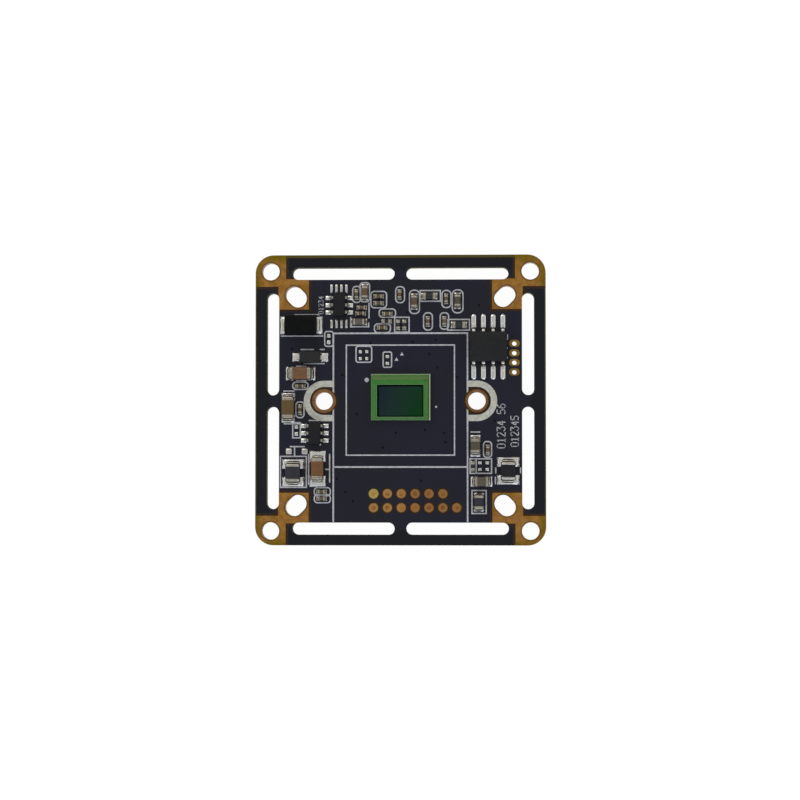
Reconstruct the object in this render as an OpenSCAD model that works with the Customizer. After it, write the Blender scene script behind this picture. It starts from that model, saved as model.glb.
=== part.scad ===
// Bare video camera board: a square two-sided circuit board with an image sensor on its front,
// four break-off rails, and the processor and wire connectors on its back.
// Millimetres. The origin is the middle of the corner screw pattern on the board's back face.
// +Z points out of the front, +X to the edge with the empty four-hole header.

/* [Board] */
// Width of the board, with its break-off rails
board_w = 38; // [38:0.5:42]
// Height of the board, with its break-off rails
board_h = 38; // [38:0.5:42]
// Height of the routed outline's middle above the screw pattern's middle
outline_rise = 0.14; // [0:0.01:0.2]
// Thickness of the laminate
board_t = 1.6; // [1:0.1:2]
// Radius of the board's four corners
corner_r = 2.4; // [1:0.1:2.6]
// Width of each rail outside the slots
rail_w = 1.5; // [1.3:0.1:1.8]
// Width of the slots that free the rails
slot_w = 1.6; // [1.2:0.1:1.6]
// Length of the web between the two slots of a side
slot_web = 1.5; // [1:0.1:4]
// Distance from a board edge to the nearest slot end
slot_end = 4.85; // [4.5:0.05:5.5]
// Diameter of the outer corner screw holes
screw_hole_d = 2.3; // [1.8:0.1:2.4]
// Distance of those holes from both edges
screw_hole_inset = 2; // [1.8:0.1:2.1]
// Width of the inner corner holes
inner_hole_d = 2.3; // [1.8:0.1:2.3]
// Stretch of the inner corner holes along the diagonal
inner_hole_stretch = 0.7; // [0.3:0.1:0.8]
// Distance of the inner holes' middles from both edges
inner_hole_inset = 5.33; // [5.3:0.01:5.5]
// Side of each of the two gold squares in a corner
corner_land_w = 4; // [3.8:0.1:4.2]
// Step between those two squares, along both edges
corner_land_step = 3; // [2.8:0.1:3.1]

/* [Layers] */
// Thickness of the copper lands and their finish
land_t = 0.05; // [0.035:0.005:0.08]
// Thickness of the copper in the plated holes
plating_t = 0.05; // [0.03:0.01:0.08]
// Thickness of the white print
print_t = 0.03; // [0.02:0.005:0.04]
// Line width of the white print
print_w = 0.17; // [0.12:0.01:0.28]
// Gap kept between the white print and a land
print_gap = 0.06; // [0.04:0.01:0.1]

/* [Lens holder seat] */
// Distance between the two lens holder screw holes
lens_hole_pitch = 20; // [19:0.5:20.5]
// Diameter of the lens holder screw holes
lens_hole_d = 2.3; // [1.6:0.1:2.3]
// Width of the gold ring round each of them
lens_ring_w = 0.48; // [0.4:0.02:0.6]
// Clear gap between the ring and the printed ear
ear_gap = 0.2; // [0.15:0.01:0.3]
// Width of the printed ear
ear_w = 0.82; // [0.5:0.02:0.9]
// Width of the printed lens holder outline
holder_w = 17.55; // [17:0.05:17.6]
// Height of the printed lens holder outline
holder_h = 17.5; // [17:0.05:17.6]
// Height of the outline's middle above the lens axis
holder_y = 0.11; // [0:0.01:0.2]
// Width of the lens holder's printed cavity
cavity_w = 14.15; // [14:0.05:15]
// Height of the lens holder's printed cavity
cavity_h = 14.4; // [14:0.05:15]
// Line width of the lens holder's outline
holder_line_w = 0.21; // [0.15:0.01:0.28]
// Distance the outline's sides run on below its corner
holder_tail = 7.1; // [3:0.1:7.2]

/* [Image sensor] */
// Width of the sensor package
sensor_w = 7.74; // [7.4:0.02:8]
// Height of the sensor package
sensor_h = 6.05; // [5.8:0.05:6.4]
// Package middle to the right of the lens axis
sensor_x = 0.06; // [0:0.01:0.1]
// Package middle above the lens axis
sensor_y = 0.47; // [0.3:0.01:0.5]
// Width of the pixel array
array_w = 6; // [5.4:0.05:6.1]
// Height of the pixel array
array_h = 4.1; // [3.6:0.05:4.2]
// Thickness of the filters on the pixel array
array_t = 0.02; // [0.01:0.005:0.03]
// Thickness of the silicon
die_t = 0.16; // [0.12:0.01:0.3]
// Height of the dam that carries the glass
dam_t = 0.05; // [0.04:0.005:0.08]
// Clear margin between the pixel array and the dam
dam_margin = 0.05; // [0.03:0.01:0.08]
// Thickness of the cover glass
glass_t = 0.4; // [0.3:0.05:0.6]
// Bevel on the cover glass's top edges
glass_bevel = 0.1; // [0.05:0.01:0.15]
// Height of the soldered balls under the sensor
ball_gap = 0.2; // [0.15:0.01:0.24]
// Diameter of the balls
ball_d = 0.3; // [0.28:0.01:0.4]
// Pitch of the ball grid
ball_pitch = 0.9; // [0.7:0.05:0.9]

/* [Flash memory] */
// Length of the eight-lead package
flash_l = 4.9; // [4.7:0.05:5]
// Width of its moulded body
flash_w = 3.9; // [3.7:0.05:4]
// Height of its moulded body
flash_h = 1.45; // [1.3:0.05:1.6]
// Pitch of its leads
flash_pitch = 1.27; // [1.2:0.01:1.3]
// Width of a lead
flash_lead_w = 0.42; // [0.35:0.01:0.48]
// Thickness of a lead
flash_lead_t = 0.2; // [0.15:0.01:0.24]
// Distance across the lead tips
flash_span = 6; // [5.8:0.05:6.2]
// Length of its solder lands
flash_land_l = 2; // [1.6:0.05:2.1]
// Width of its solder lands
flash_land_w = 0.65; // [0.5:0.01:0.7]
// Distance the lands run past the lead tips
flash_land_toe = 1.28; // [0.8:0.02:1.3]

// Length of a lead's flat foot
flash_foot = 0.42; // [0.3:0.01:0.45]
// Radius of the round mark over lead one
flash_mark_r = 0.25; // [0.15:0.05:0.4]

/* [Regulators] */
// Length of the six-lead package
reg_l = 2.9; // [2.8:0.05:3]
// Width of its moulded body
reg_w = 1.55; // [1.5:0.01:1.6]
// Height of its moulded body
reg_h = 1.05; // [0.9:0.05:1.15]
// Pitch of its leads
reg_pitch = 0.95; // [0.9:0.01:0.98]
// Width of a lead
reg_lead_w = 0.38; // [0.3:0.01:0.42]
// Thickness of a lead
reg_lead_t = 0.14; // [0.1:0.01:0.15]
// Distance across the lead tips
reg_span = 2.8; // [2.7:0.05:2.9]
// Length of its solder lands
reg_land_l = 0.75; // [0.6:0.05:0.8]
// Width of its solder lands
reg_land_w = 0.55; // [0.45:0.01:0.6]
// Distance the lands run past the lead tips
reg_land_toe = 0.42; // [0.2:0.02:0.45]

// Length of a lead's flat foot
reg_foot = 0.25; // [0.2:0.01:0.28]

/* [Rectifier diode] */
// Length of the moulded body
rect_l = 4.25; // [4.1:0.05:4.3]
// Width of the moulded body
rect_w = 2.6; // [2.5:0.05:2.65]
// Height of the moulded body
rect_h = 1.95; // [1.8:0.05:2.2]
// Width of its two straps
rect_strap_w = 1.45; // [1.3:0.05:1.6]
// Thickness of the straps
rect_strap_t = 0.2; // [0.15:0.01:0.22]
// Distance across the straps
rect_span = 4.95; // [4.9:0.05:5]
// Length of strap folded under the body
rect_fold = 1.1; // [0.8:0.05:1.2]
// Distance its lands run past the straps
rect_land_toe = 0.3; // [0.2:0.02:0.35]
// Width of its lands
rect_land_w = 2.3; // [1.8:0.05:2.4]

/* [Clamp diode] */
// Length of the moulded body
clamp_l = 2.65; // [2.55:0.05:2.7]
// Width of the moulded body
clamp_w = 1.55; // [1.5:0.01:1.6]
// Height of the moulded body
clamp_h = 1; // [0.95:0.05:1.1]
// Width of its two leads
clamp_lead_w = 0.6; // [0.5:0.02:0.7]
// Thickness of the leads
clamp_lead_t = 0.14; // [0.1:0.01:0.15]
// Distance across the lead tips
clamp_span = 3.7; // [3.6:0.05:3.8]
// Distance its lands run past the lead tips
clamp_land_toe = 0.5; // [0.4:0.02:0.6]
// Width of its lands
clamp_land_w = 1.15; // [0.9:0.05:1.2]

// Length of a lead's flat foot
clamp_foot = 0.17; // [0.12:0.01:0.2]

/* [Moulded packages] */
// Slope of every moulded side, as inset for each unit of height
draft = 0.12; // [0.08:0.01:0.16]
// Gap between the lands and the flash memory's body
flash_stand = 0.1; // [0.05:0.01:0.15]
// Gap between the lands and the small leaded bodies
small_stand = 0.05; // [0.02:0.01:0.08]
// Depth of the round marks moulded into the packages
mark_depth = 0.05; // [0.02:0.01:0.08]

/* [Power inductors] */
// Length over the terminals
coil_l = 2.7; // [2.5:0.05:2.8]
// Width of the part
coil_w = 1.95; // [1.8:0.05:2]
// Height of the part
coil_h = 1.2; // [1:0.05:1.4]
// Length of each terminal
coil_cap = 0.55; // [0.45:0.05:0.65]
// Distance the lands run past the ends
coil_land_toe = 0.42; // [0.3:0.02:0.45]
// Width of the lands
coil_land_w = 2.9; // [2.2:0.05:2.9]
// Distance the lands run in past the terminals
coil_land_in = 0.25; // [0.05:0.05:0.3]

/* [Large capacitors] */
// Length over the end caps
bulk_l = 3.1; // [3:0.05:3.2]
// Width of the part
bulk_w = 1.6; // [1.5:0.05:1.7]
// Height of the part
bulk_h = 1.4; // [1.2:0.05:1.7]
// Length of each end cap
bulk_cap = 0.6; // [0.4:0.05:0.7]
// Width of the lands
bulk_land_w = 1.75; // [1.6:0.05:1.8]
// Distance the lands run past the ends
bulk_land_toe = 0.38; // [0.3:0.02:0.45]
// Width of the larger lands under the capacitor beside the left inductor
tank_land_w = 2.1; // [1.8:0.05:2.15]
// Distance those lands run past its ends
tank_land_toe = 0.8; // [0.5:0.05:0.85]

/* [Medium parts] */
// Length of the filter capacitors and of the ferrite bead
mid_l = 2; // [1.9:0.02:2.1]
// Width of the filter capacitors and of the ferrite bead
mid_w = 1.25; // [1.15:0.01:1.35]
// Height of the filter capacitors
mid_h = 1.2; // [1:0.05:1.4]
// Height of the ferrite bead
bead_h = 0.85; // [0.7:0.05:1]
// Length of their end caps
mid_cap = 0.45; // [0.35:0.01:0.5]
// Distance their lands run past the ends
mid_land_toe = 0.42; // [0.3:0.02:0.44]

/* [Small parts] */
// Length of the small capacitors and sense resistors
small_l = 1.6; // [1.5:0.01:1.65]
// Width of the small capacitors and sense resistors
small_w = 0.82; // [0.75:0.01:0.85]
// Height of the small capacitors
small_h = 0.8; // [0.7:0.05:0.9]
// Height of the sense resistors
sense_h = 0.45; // [0.35:0.05:0.55]
// Length of their end caps
small_cap = 0.33; // [0.25:0.01:0.4]
// Distance their lands run past the ends
small_land_toe = 0.27; // [0.15:0.01:0.28]

/* [Chip parts] */
// Length of the smallest capacitors and resistors
chip_l = 1; // [0.95:0.01:1.05]
// Width of the smallest capacitors and resistors
chip_w = 0.5; // [0.46:0.01:0.52]
// Height of the smallest capacitors
chip_h = 0.5; // [0.45:0.01:0.55]
// Height of the smallest resistors
chip_r_h = 0.35; // [0.3:0.01:0.4]
// Length of their end caps
chip_cap = 0.25; // [0.2:0.01:0.28]
// Distance their lands run past the ends
chip_land_toe = 0.2; // [0.1:0.01:0.21]
// Distance a land runs past each side of any chip
land_side_w = 0.03; // [0:0.01:0.05]
// Thickness of the metal of every end cap
cap_t = 0.025; // [0.015:0.005:0.03]
// Radius on the long edges of the larger capacitors and the inductors
chip_round = 0.12; // [0.05:0.01:0.2]
// Share of a part's height that its solder climbs
solder_climb = 0.45; // [0.2:0.05:0.6]

/* [Test lands] */
// Diameter of a round test land
test_d = 1.28; // [1:0.02:1.4]
// Pitch of the test lands
test_pitch = 1.81; // [1.7:0.01:1.85]
// Test lands in the upper row; the lower row has one more
test_count = 6; // [4:1:6]
// First test land to the left of the lens axis
test_left = 3.5; // [3:0.1:4]
// Upper row below the lens axis
test_drop = 12.12; // [11.8:0.02:12.2]
// Distance between the rows
test_row_step = 1.83; // [1.7:0.01:1.9]

/* [Empty header] */
// Number of plated holes
header_holes = 4; // [2:1:4]
// Pitch of the holes
header_pitch = 1.25; // [1.2:0.01:1.3]
// Diameter of the holes
header_hole_d = 0.62; // [0.5:0.01:0.7]
// Length of a land
header_land_l = 1.4; // [1.2:0.05:1.5]
// Width of a land
header_land_w = 0.94; // [0.85:0.01:1]
// Distance from the inner board's edge to the holes
header_inset = 1; // [0.95:0.01:1.1]
// Top hole above the lens axis
header_y = 7.5; // [7.3:0.05:7.6]

/* [Processor] */
// Side of the square processor package on the back
proc_w = 9; // [8.5:0.1:9.5]
// Height of the package
proc_h = 0.85; // [0.75:0.05:1]
// Terminals along each side
proc_count = 16; // [12:2:16]
// Pitch of the terminals
proc_pitch = 0.5; // [0.45:0.01:0.52]
// Width of a terminal
proc_pin_w = 0.25; // [0.2:0.01:0.28]
// Length of a terminal
proc_pin_l = 0.4; // [0.35:0.05:0.6]
// Thickness of a terminal
proc_pin_t = 0.2; // [0.15:0.01:0.25]
// Side of the heat land under the package
proc_heat_w = 5; // [4:0.1:6]
// Radius of the round mark in its corner
proc_mark_r = 0.3; // [0.2:0.05:0.5]
// Distance the processor's lands run past its edge
proc_land_toe = 0.3; // [0.2:0.05:0.4]

/* [Crystal] */
// Length of the crystal package
crystal_l = 3.2; // [3:0.05:3.3]
// Width of the crystal package
crystal_w = 2.5; // [2.4:0.05:2.6]
// Height of its ceramic base
crystal_base_h = 0.5; // [0.4:0.05:0.6]
// Height of its metal lid
crystal_lid_h = 0.2; // [0.15:0.05:0.3]
// Step from the base's edge to the lid
crystal_lip = 0.15; // [0.1:0.01:0.2]

// Width and length of its four lands
crystal_land = 1.1; // [0.9:0.05:1.2]

/* [Wire connectors] */
// Contacts in the supply and video connector
main_contacts = 5; // [3:1:6]
// Contacts in the lens filter connector
filter_contacts = 2; // [2:1:4]
// Pitch of the contacts
contact_pitch = 1.25; // [1.2:0.01:1.3]
// Height of the housings
housing_h = 3.4; // [3:0.1:3.8]
// Depth of the housings
housing_d = 4.2; // [3.8:0.1:4.6]
// Housing length beyond the outer contacts, each side
housing_end = 1.75; // [1.5:0.05:2]
// Thickness of the housing's walls
housing_wall = 0.6; // [0.45:0.05:0.7]
// Thickness of the housing's rear wall
housing_rear = 1; // [0.8:0.05:1.2]
// Width of the keyways in the housing's open side
keyway_w = 0.9; // [0.6:0.05:1]
// Length of the keyways
keyway_l = 2.2; // [1.5:0.1:2.4]
// Side of a square contact
contact_w = 0.32; // [0.25:0.01:0.4]
// Height of the contacts above the board
contact_z = 1.7; // [1.5:0.05:1.8]
// Distance the contact feet reach behind the housing
contact_reach = 1.5; // [1.3:0.05:1.7]
// Length of a contact's flat foot
contact_foot = 0.55; // [0.4:0.05:0.6]
// Distance from the contact tips to the housing's mouth
contact_setback = 0.7; // [0.4:0.05:1]
// Thickness of the fitting tabs
tab_t = 0.25; // [0.2:0.01:0.3]
// Length of a tab's foot on the board
tab_foot = 1.1; // [0.8:0.05:1.3]
// Depth of a tab
tab_d = 2.4; // [2:0.1:2.8]
// Height of a tab's upright side
tab_h = 2; // [1.5:0.1:2.6]
// Distance from the housing's mouth to a tab
tab_setback = 0.6; // [0.3:0.1:1]
// Overrun of the connector lands round contacts and tabs
contact_land_edge = 0.2; // [0.1:0.02:0.25]

/* [Hidden] */
$fn = 48;

// Overshoot of every cutter past the faces that it opens
over = 1;
// Half sizes of the whole board, and of the inner board inside the slots
half_w = board_w / 2;
half_h = board_h / 2;
inner_x = half_w - rail_w - slot_w;
inner_y = half_h - rail_w - slot_w;
// Height of the top of the lands, where every front part stands
seat = board_t + land_t;
// Overrun of a connector land, along X and Y
land_edge = [contact_land_edge, contact_land_edge];

// Sizes of the two-ended parts: length, width, height, end cap, land overrun, land width, edge radius
// and the distance that a land runs in past the end cap
BULK = [bulk_l, bulk_w, bulk_h, bulk_cap, bulk_land_toe, bulk_land_w, chip_round, land_side_w];
TANK = [bulk_l, bulk_w, bulk_h, bulk_cap, tank_land_toe, tank_land_w, chip_round, land_side_w];
MID = [mid_l, mid_w, mid_h, mid_cap, mid_land_toe, mid_w + 2 * land_side_w, chip_round, land_side_w];
BEAD = [mid_l, mid_w, bead_h, mid_cap, mid_land_toe / 2, mid_w + 2 * land_side_w, 0, land_side_w];
SMALL = [small_l, small_w, small_h, small_cap, small_land_toe, small_w + 2 * land_side_w, 0, land_side_w];
SENSE = [small_l, small_w, sense_h, small_cap, small_land_toe, small_w + 2 * land_side_w, 0, land_side_w];
CHIP = [chip_l, chip_w, chip_h, chip_cap, chip_land_toe, chip_w + 2 * land_side_w, 0, land_side_w];
CHIP_R = [chip_l, chip_w, chip_r_h, chip_cap, chip_land_toe, chip_w + 2 * land_side_w, 0, land_side_w];
COIL = [coil_l, coil_w, coil_h, coil_cap, coil_land_toe, coil_land_w, chip_round, coil_land_in];

// Places of the parts: x, y, turn. A part at turn 0 lies along X.
FLASH_AT = [11.5, 7.05, 0];
INPUT_REG_AT = [-8, 12.55, 90];
CORE_REG_AT = [-11.2, -4.22, 90];
RECT_AT = [-12.98, 9.92, 0];
CLAMP_AT = [-11.8, 5.72, 0];
LEFT_COIL_AT = [[-14.02, -9.4, 90]];
RIGHT_COIL_AT = [[14.07, -9.15, 90]];
BULK_AT = [[-13.07, 3.6, 0], [-14.68, -0.88, 90], [-10.82, -8.88, 90]];
MID_AT = [[9.8, -5.88, 90], [10.6, -10.55, 0]];
BEAD_AT = [[10.25, -13.22, 90]];
SMALL_AT = [[-4.66, 14.25, 90], [-5.42, 10.35, 0], [1.83, 13, 90], [7.48, 13.1, 90]];
SENSE_AT = [[3.8, 13.72, 0], [7.66, 9.93, 0]];
CHIP_AT = [
    [-5.74, 13.95, 90], [-5.05, 12.22, 0], [-5.2, 11.45, 0], [-2.85, 13.7, 0], [-2.85, 12.8, 0],
    [-1.72, 11.4, 0], [-2.4, 9.6, 0], [-0.1, 13.92, 90], [6, 13.35, 90],
    [3.6, 10.4, 90], [5.75, 10.4, 90], [-13.13, 1.98, 0], [-13.15, -1.15, 90],
    [-10.3, -11.86, 0], [-10.3, -12.76, 0], [11.4, -6.42, 90]
];
CHIP_R_AT = [[-1.8, 10.4, 0], [-0.3, 9.95, 90], [0.52, 9.95, 90], [9.45, -8.55, 90]];

// Empty lands: x, y, width, height
SPARE_AT = [
    [-9.4, 8.55, 0.5, 0.5], [-9.4, 7.7, 0.5, 0.5],
    [-5.25, 6.45, 0.42, 0.42], [-4.4, 6.45, 0.42, 0.42],
    [-5.25, 5.55, 0.42, 0.42], [-4.4, 5.55, 0.42, 0.42],
    [-1.7, 5.8, 0.48, 0.42], [-1.7, 4.9, 0.48, 0.42],
    [-13.62, -3.38, 0.5, 0.5], [-13.62, -4.3, 0.5, 0.5],
    [-14.6, -6.6, 0.8, 0.8], [-12.53, -6.6, 0.8, 0.8],
    [10.38, -8.1, 0.5, 0.42], [11.35, -8.1, 0.5, 0.42],
    [10.38, -8.97, 0.5, 0.42], [11.35, -8.97, 0.5, 0.42]
];
// Empty eight-land footprint over the input regulator: middle, pitch, row distance, land
SPARE_IC_AT = [-8.05, 12.42];
SPARE_IC_PITCH = 0.65;
SPARE_IC_ROWS = 4.62;
SPARE_IC_LAND = [0.34, 1.15];

// Printed boxes with round corners: x, y, width, height, corner radius
ROUND_BOXES = [
    [-2.83, 13.28, 2.05, 2.15, 0.45], [-0.03, 13.92, 1.15, 2.1, 0.5], [1.85, 12.97, 1.3, 3.05, 0.55],
    [-1.7, 11.5, 2.15, 1.1, 0.45], [-2.35, 9.52, 2.1, 1.15, 0.45], [6.03, 13.33, 1.15, 2.25, 0.5],
    [7.5, 13.02, 1.4, 3, 0.6], [3.62, 10.4, 1.15, 2.25, 0.5], [5.77, 10.45, 1.1, 2.15, 0.45],
    [-5.72, 13.97, 1.05, 2.1, 0.45], [-4.66, 14.25, 1.25, 2.5, 0.4], [-10.2, -11.86, 2.1, 1.05, 0.4],
    [-10.2, -12.78, 2.1, 1.05, 0.4], [11.38, -6.35, 1.05, 2.05, 0.4], [-13.15, -1.15, 1.05, 2.05, 0.4],
    [-13.1, 2, 2, 0.95, 0.4], [-4.78, 6.12, 2.05, 2.1, 0.3], [-9.36, 8.14, 1.1, 1.95, 0.3],
    [-1.7, 5.4, 1.1, 2, 0.2]
];
// Printed boxes with square corners: x, y, width, height
BOXES = [
    [3.92, 13.75, 2.65, 1.4], [7.62, 9.95, 2.85, 1.4], [0.2, 9.98, 1.9, 1.95], [10.27, -13.2, 1.85, 3],
    [10.5, -8.52, 2.8, 1.9], [-13.6, -3.83, 1, 1.98], [-14, -9.27, 3.4, 4.05]
];
// Printed straight lines: x and y of one end, x and y of the other
LINES = [
    [-13.8, 11.32, -10.7, 11.32], [-15.6, 8.52, -10.2, 8.52],
    [-13, 6.75, -11.4, 6.75], [-10.5, 6.75, -10, 6.75], [-12.6, 4.9, -10, 4.9],
    [-13.6, 4.56, -12.4, 4.56], [-13.6, 2.66, -12.4, 2.66],
    [-15.25, 1.3, -13.95, 1.3], [-15.2, -2.98, -13.2, -2.98], [-11.9, -2.55, -10.5, -2.55],
    [-9.25, -7, -9.25, -10.6], [-9.75, -8.95, -9.25, -8.95], [-12, -7, -12, -10.9],
    [-14.4, -5.97, -12.6, -5.97], [-13.85, -5.97, -13.85, -7.1],
    [-6.5, 9.72, -4.15, 9.72], [-6.5, 9.72, -6.5, 10.9], [-4.15, 9.72, -4.15, 10.2],
    [-4.1, 10.9, -4.1, 12.8], [-1.3, 9.4, -1.3, 9.9],
    [14, 8.05, 14, 8.6], [13.95, 6.85, 13.95, 6.9], [13.95, 5.6, 13.95, 5.65],
    [9.25, -4.08, 10.35, -4.08], [9.9, -7.6, 9.9, -9.4],
    [12.45, -8.8, 12.45, -9.4], [15.68, -8.8, 15.68, -9.4], [12.4, -10, 12.4, -10.8]
];
// Printed dots: x, y, radius, corners
DOTS = [
    [-4.4, 2.75, 0.29, $fn], [4.67, -0.78, 0.14, $fn], [-10.47, -5.7, 0.13, $fn],
    [-0.5, 5.4, 0.3, 3], [0.2, 6.1, 0.3, 3]
];

// Parts of the back, seen from the front: x, y, turn
PROC_AT = [0, 0.6, 0];
CRYSTAL_AT = [-7.2, 6.6, 0];
BACK_CHIP_AT = [
    [-3, 6.6, 90], [-1.5, 6.6, 90], [0, 6.6, 90], [1.5, 6.6, 90], [3, 6.6, 90],
    [-3, -5.4, 90], [-1.5, -5.4, 90], [0, -5.4, 90], [1.5, -5.4, 90], [3, -5.4, 90],
    [6.2, 3.2, 0], [6.2, 1.6, 0], [6.2, -1.4, 0], [6.2, -3, 0],
    [-9.9, 7.6, 90], [-9.9, 5.6, 90], [-6.2, -1.4, 0], [-6.2, -3, 0]
];

// ---------- Shared shapes ----------

// Plate centred on the Z axis, with round upright edges
module round_plate(w, h, t, r) {
    union() {
        translate([-w / 2 + r, -h / 2, 0]) cube([w - 2 * r, h, t]);
        translate([-w / 2, -h / 2 + r, 0]) cube([w, h - 2 * r, t]);
        for (x = [-1, 1])
            for (y = [-1, 1])
                translate([x * (w / 2 - r), y * (h / 2 - r), 0]) cylinder(h = t, r = r);
    }
}

// Flat outlines of the same plate, of a long hole along X and of a centred rectangle
module round_plan(w, h, r) {
    union() {
        square([w - 2 * r, h], center = true);
        square([w, h - 2 * r], center = true);
        for (x = [-1, 1])
            for (y = [-1, 1])
                translate([x * (w / 2 - r), y * (h / 2 - r)]) circle(r);
    }
}

module oblong_plan(length, d) {
    union() {
        for (s = [-1, 1])
            translate([s * (length - d) / 2, 0]) circle(d = d);
        square([length - d, d], center = true);
    }
}

// Long-hole shape along X: two round ends and the straight between them
module oblong(length, d, t) {
    union() {
        for (s = [-1, 1])
            translate([s * (length - d) / 2, 0, 0]) cylinder(h = t, d = d);
        translate([-(length - d) / 2, -d / 2, 0]) cube([length - d, d, t]);
    }
}

// Block with a bevel on its four top edges, made where two profiles cross
module beveled_block(l, w, h, bevel) {
    intersection() {
        profile_bar(l, w, [[0.5, 0, 0], [0.5, h - bevel, 0], [0.5, h, bevel]]);
        rotate(90) profile_bar(w, l, [[0.5, 0, 0], [0.5, h - bevel, 0], [0.5, h, bevel]]);
    }
}

// Bar along Y whose mirrored outline in XZ is given as share of l, height and inset
module profile_bar(l, w, outline) {
    right = [for (p = outline) [p[0] * l - p[2], p[1]]];
    left = [for (i = [len(outline) - 1 : -1 : 0]) [-right[i][0], right[i][1]]];
    rotate([90, 0, 0]) linear_extrude(w, center = true) polygon(concat(right, left));
}

// Moulded package body: drafted below and above a parting band as thick as the leads
module moulded_body(l, w, h, band_z, band) {
    low = band_z * draft;
    high = (h - band_z - band) * draft;
    outline = [[0.5, 0, low], [0.5, band_z, 0], [0.5, band_z + band, 0], [0.5, h, high]];
    intersection() {
        profile_bar(l, w, outline);
        rotate(90) profile_bar(w, l, outline);
    }
}

// Quarter of a flat ring, in the first quadrant
module quarter_ring(r, t) {
    intersection() {
        difference() {
            circle(r + t);
            circle(r);
        }
        square(r + t);
    }
}

// Gull-wing lead: leaves the body at x = 0, steps down and ends in a flat foot
module gull_lead(reach, drop, t, foot, w) {
    bend = t * 0.7;
    shoulder = reach - foot - 2 * bend - t;
    rotate([90, 0, 0]) linear_extrude(w, center = true) union() {
        translate([0, drop - t / 2]) square([shoulder, t]);
        translate([shoulder, drop - t / 2 - bend]) quarter_ring(bend, t);
        translate([shoulder + bend, bend + t]) square([t, drop - 1.5 * t - 2 * bend]);
        translate([shoulder + 2 * bend + t, bend + t]) rotate(180) quarter_ring(bend, t);
        translate([shoulder + 2 * bend + t, 0]) square([foot, t]);
    }
}

// Strap that leaves the body at x = 0, bends down and folds back under it
module folded_strap(reach, drop, t, foot, w) {
    bend = t * 0.6;
    shoulder = reach - bend - t;
    rotate([90, 0, 0]) linear_extrude(w, center = true) union() {
        translate([0, drop - t / 2]) square([shoulder, t]);
        translate([shoulder, drop - t / 2 - bend]) quarter_ring(bend, t);
        translate([shoulder + bend, bend + t]) square([t, drop - 1.5 * t - 2 * bend]);
        translate([shoulder, bend + t]) rotate(-90) quarter_ring(bend, t);
        translate([shoulder - foot, 0]) square([foot, t]);
    }
}

// Solder climbing from a land up an end face at x = 0
module solder_wedge(run, climb, w) {
    rotate([90, 0, 0]) linear_extrude(w, center = true)
        polygon([[0, 0], [run, 0], [run * 0.4, climb * 0.28], [0, climb]]);
}

// Repeats its children at each place of a table: flat, on the front's lands or on the back's lands
module at_each(places) {
    for (p = places)
        translate([p[0], p[1], 0]) rotate(p[2]) children();
}

module on_front(places) {
    translate([0, 0, seat]) at_each(places) children();
}

module on_back(places) {
    translate([0, 0, -land_t]) at_each(places) mirror([0, 0, 1]) children();
}

// ---------- Two-ended parts ----------

// The block between and inside the end caps
module chip_block(p) {
    translate([0, 0, cap_t]) chip_bar(p[0] - 2 * cap_t, p[1] - 2 * cap_t, p[2] - 2 * cap_t, p[6]);
}

// A bar along X with its four long edges rounded, or square where the radius is nought
module chip_bar(l, w, h, r) {
    if (r > 0)
        translate([-l / 2, 0, h / 2]) rotate([90, 0, 90]) round_plate(w, h, l, r);
    else
        translate([-l / 2, -w / 2, 0]) cube([l, w, h]);
}

// The two metal caps that fit over the block's ends
module chip_caps(p) {
    r = p[6] > 0 ? p[6] + cap_t : 0;
    for (s = [-1, 1])
        difference() {
            translate([s * (p[0] - p[3]) / 2, 0, 0]) chip_bar(p[3], p[1], p[2], r);
            chip_block(p);
        }
}

// Solder at both ends
module chip_solder(p) {
    for (a = [0, 180])
        rotate(a) translate([p[0] / 2, 0, 0]) solder_wedge(p[4] * 0.9, p[2] * solder_climb, p[1] * 0.92);
}

// Outlines of the two lands
module chip_lands(p) {
    land_l = p[3] + p[4] + p[7];
    for (s = [-1, 1])
        translate([s * (p[0] / 2 + p[4] - land_l / 2), 0]) square([land_l, p[5]], center = true);
}

// ---------- Board ----------

// The two slots along the edge at +Y of a board that reaches half_l sideways and half_d up
module edge_slots(half_l, half_d) {
    length = half_l - slot_end - slot_web / 2;
    for (s = [-1, 1])
        translate([s * (slot_web + length) / 2, half_d - rail_w - slot_w / 2, -over])
            oblong(length, slot_w, board_t + 2 * over);
}

// Repeats its children in the four corners, drawn for the one at +X +Y
module corners() {
    for (x = [0, 1])
        for (y = [0, 1])
            mirror([x, 0, 0]) mirror([0, y, 0]) translate([half_w, half_h, 0]) children();
}

// The eight slots, which cut the laminate and its lands
module board_slots() {
    for (a = [0, 180]) {
        rotate(a) edge_slots(half_w, half_h);
        rotate(a + 90) edge_slots(half_h, half_w);
    }
}

// Round outer and long inner corner holes, wider by the plating at each side, from z0 up
module corner_bores(plating, z0, h) {
    d = inner_hole_d + 2 * plating;
    corners() {
        translate([-screw_hole_inset, -screw_hole_inset, z0])
            cylinder(h = h, d = screw_hole_d + 2 * plating);
        translate([-inner_hole_inset, -inner_hole_inset, z0])
            rotate(45) oblong(d + inner_hole_stretch, d, h);
    }
}

// Middles of the plated header holes
module header_places() {
    for (i = [0 : header_holes - 1])
        translate([inner_x - header_inset, header_y - i * header_pitch, 0]) children();
}

module lens_places() {
    for (s = [-1, 1])
        translate([s * lens_hole_pitch / 2, 0, 0]) children();
}

// Routed outline of the board, t thick
module routed_plate(t) {
    translate([0, outline_rise, 0]) round_plate(board_w, board_h, t, corner_r);
}

module board() {
    color("#22222a") difference() {
        routed_plate(board_t);
        board_slots();
        corner_bores(plating_t, -over, board_t + 2 * over);
        lens_places() translate([0, 0, -over])
            cylinder(h = board_t + 2 * over, d = lens_hole_d + 2 * plating_t);
        header_places() translate([0, 0, -over])
            cylinder(h = board_t + 2 * over, d = header_hole_d + 2 * plating_t);
    }
}

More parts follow.
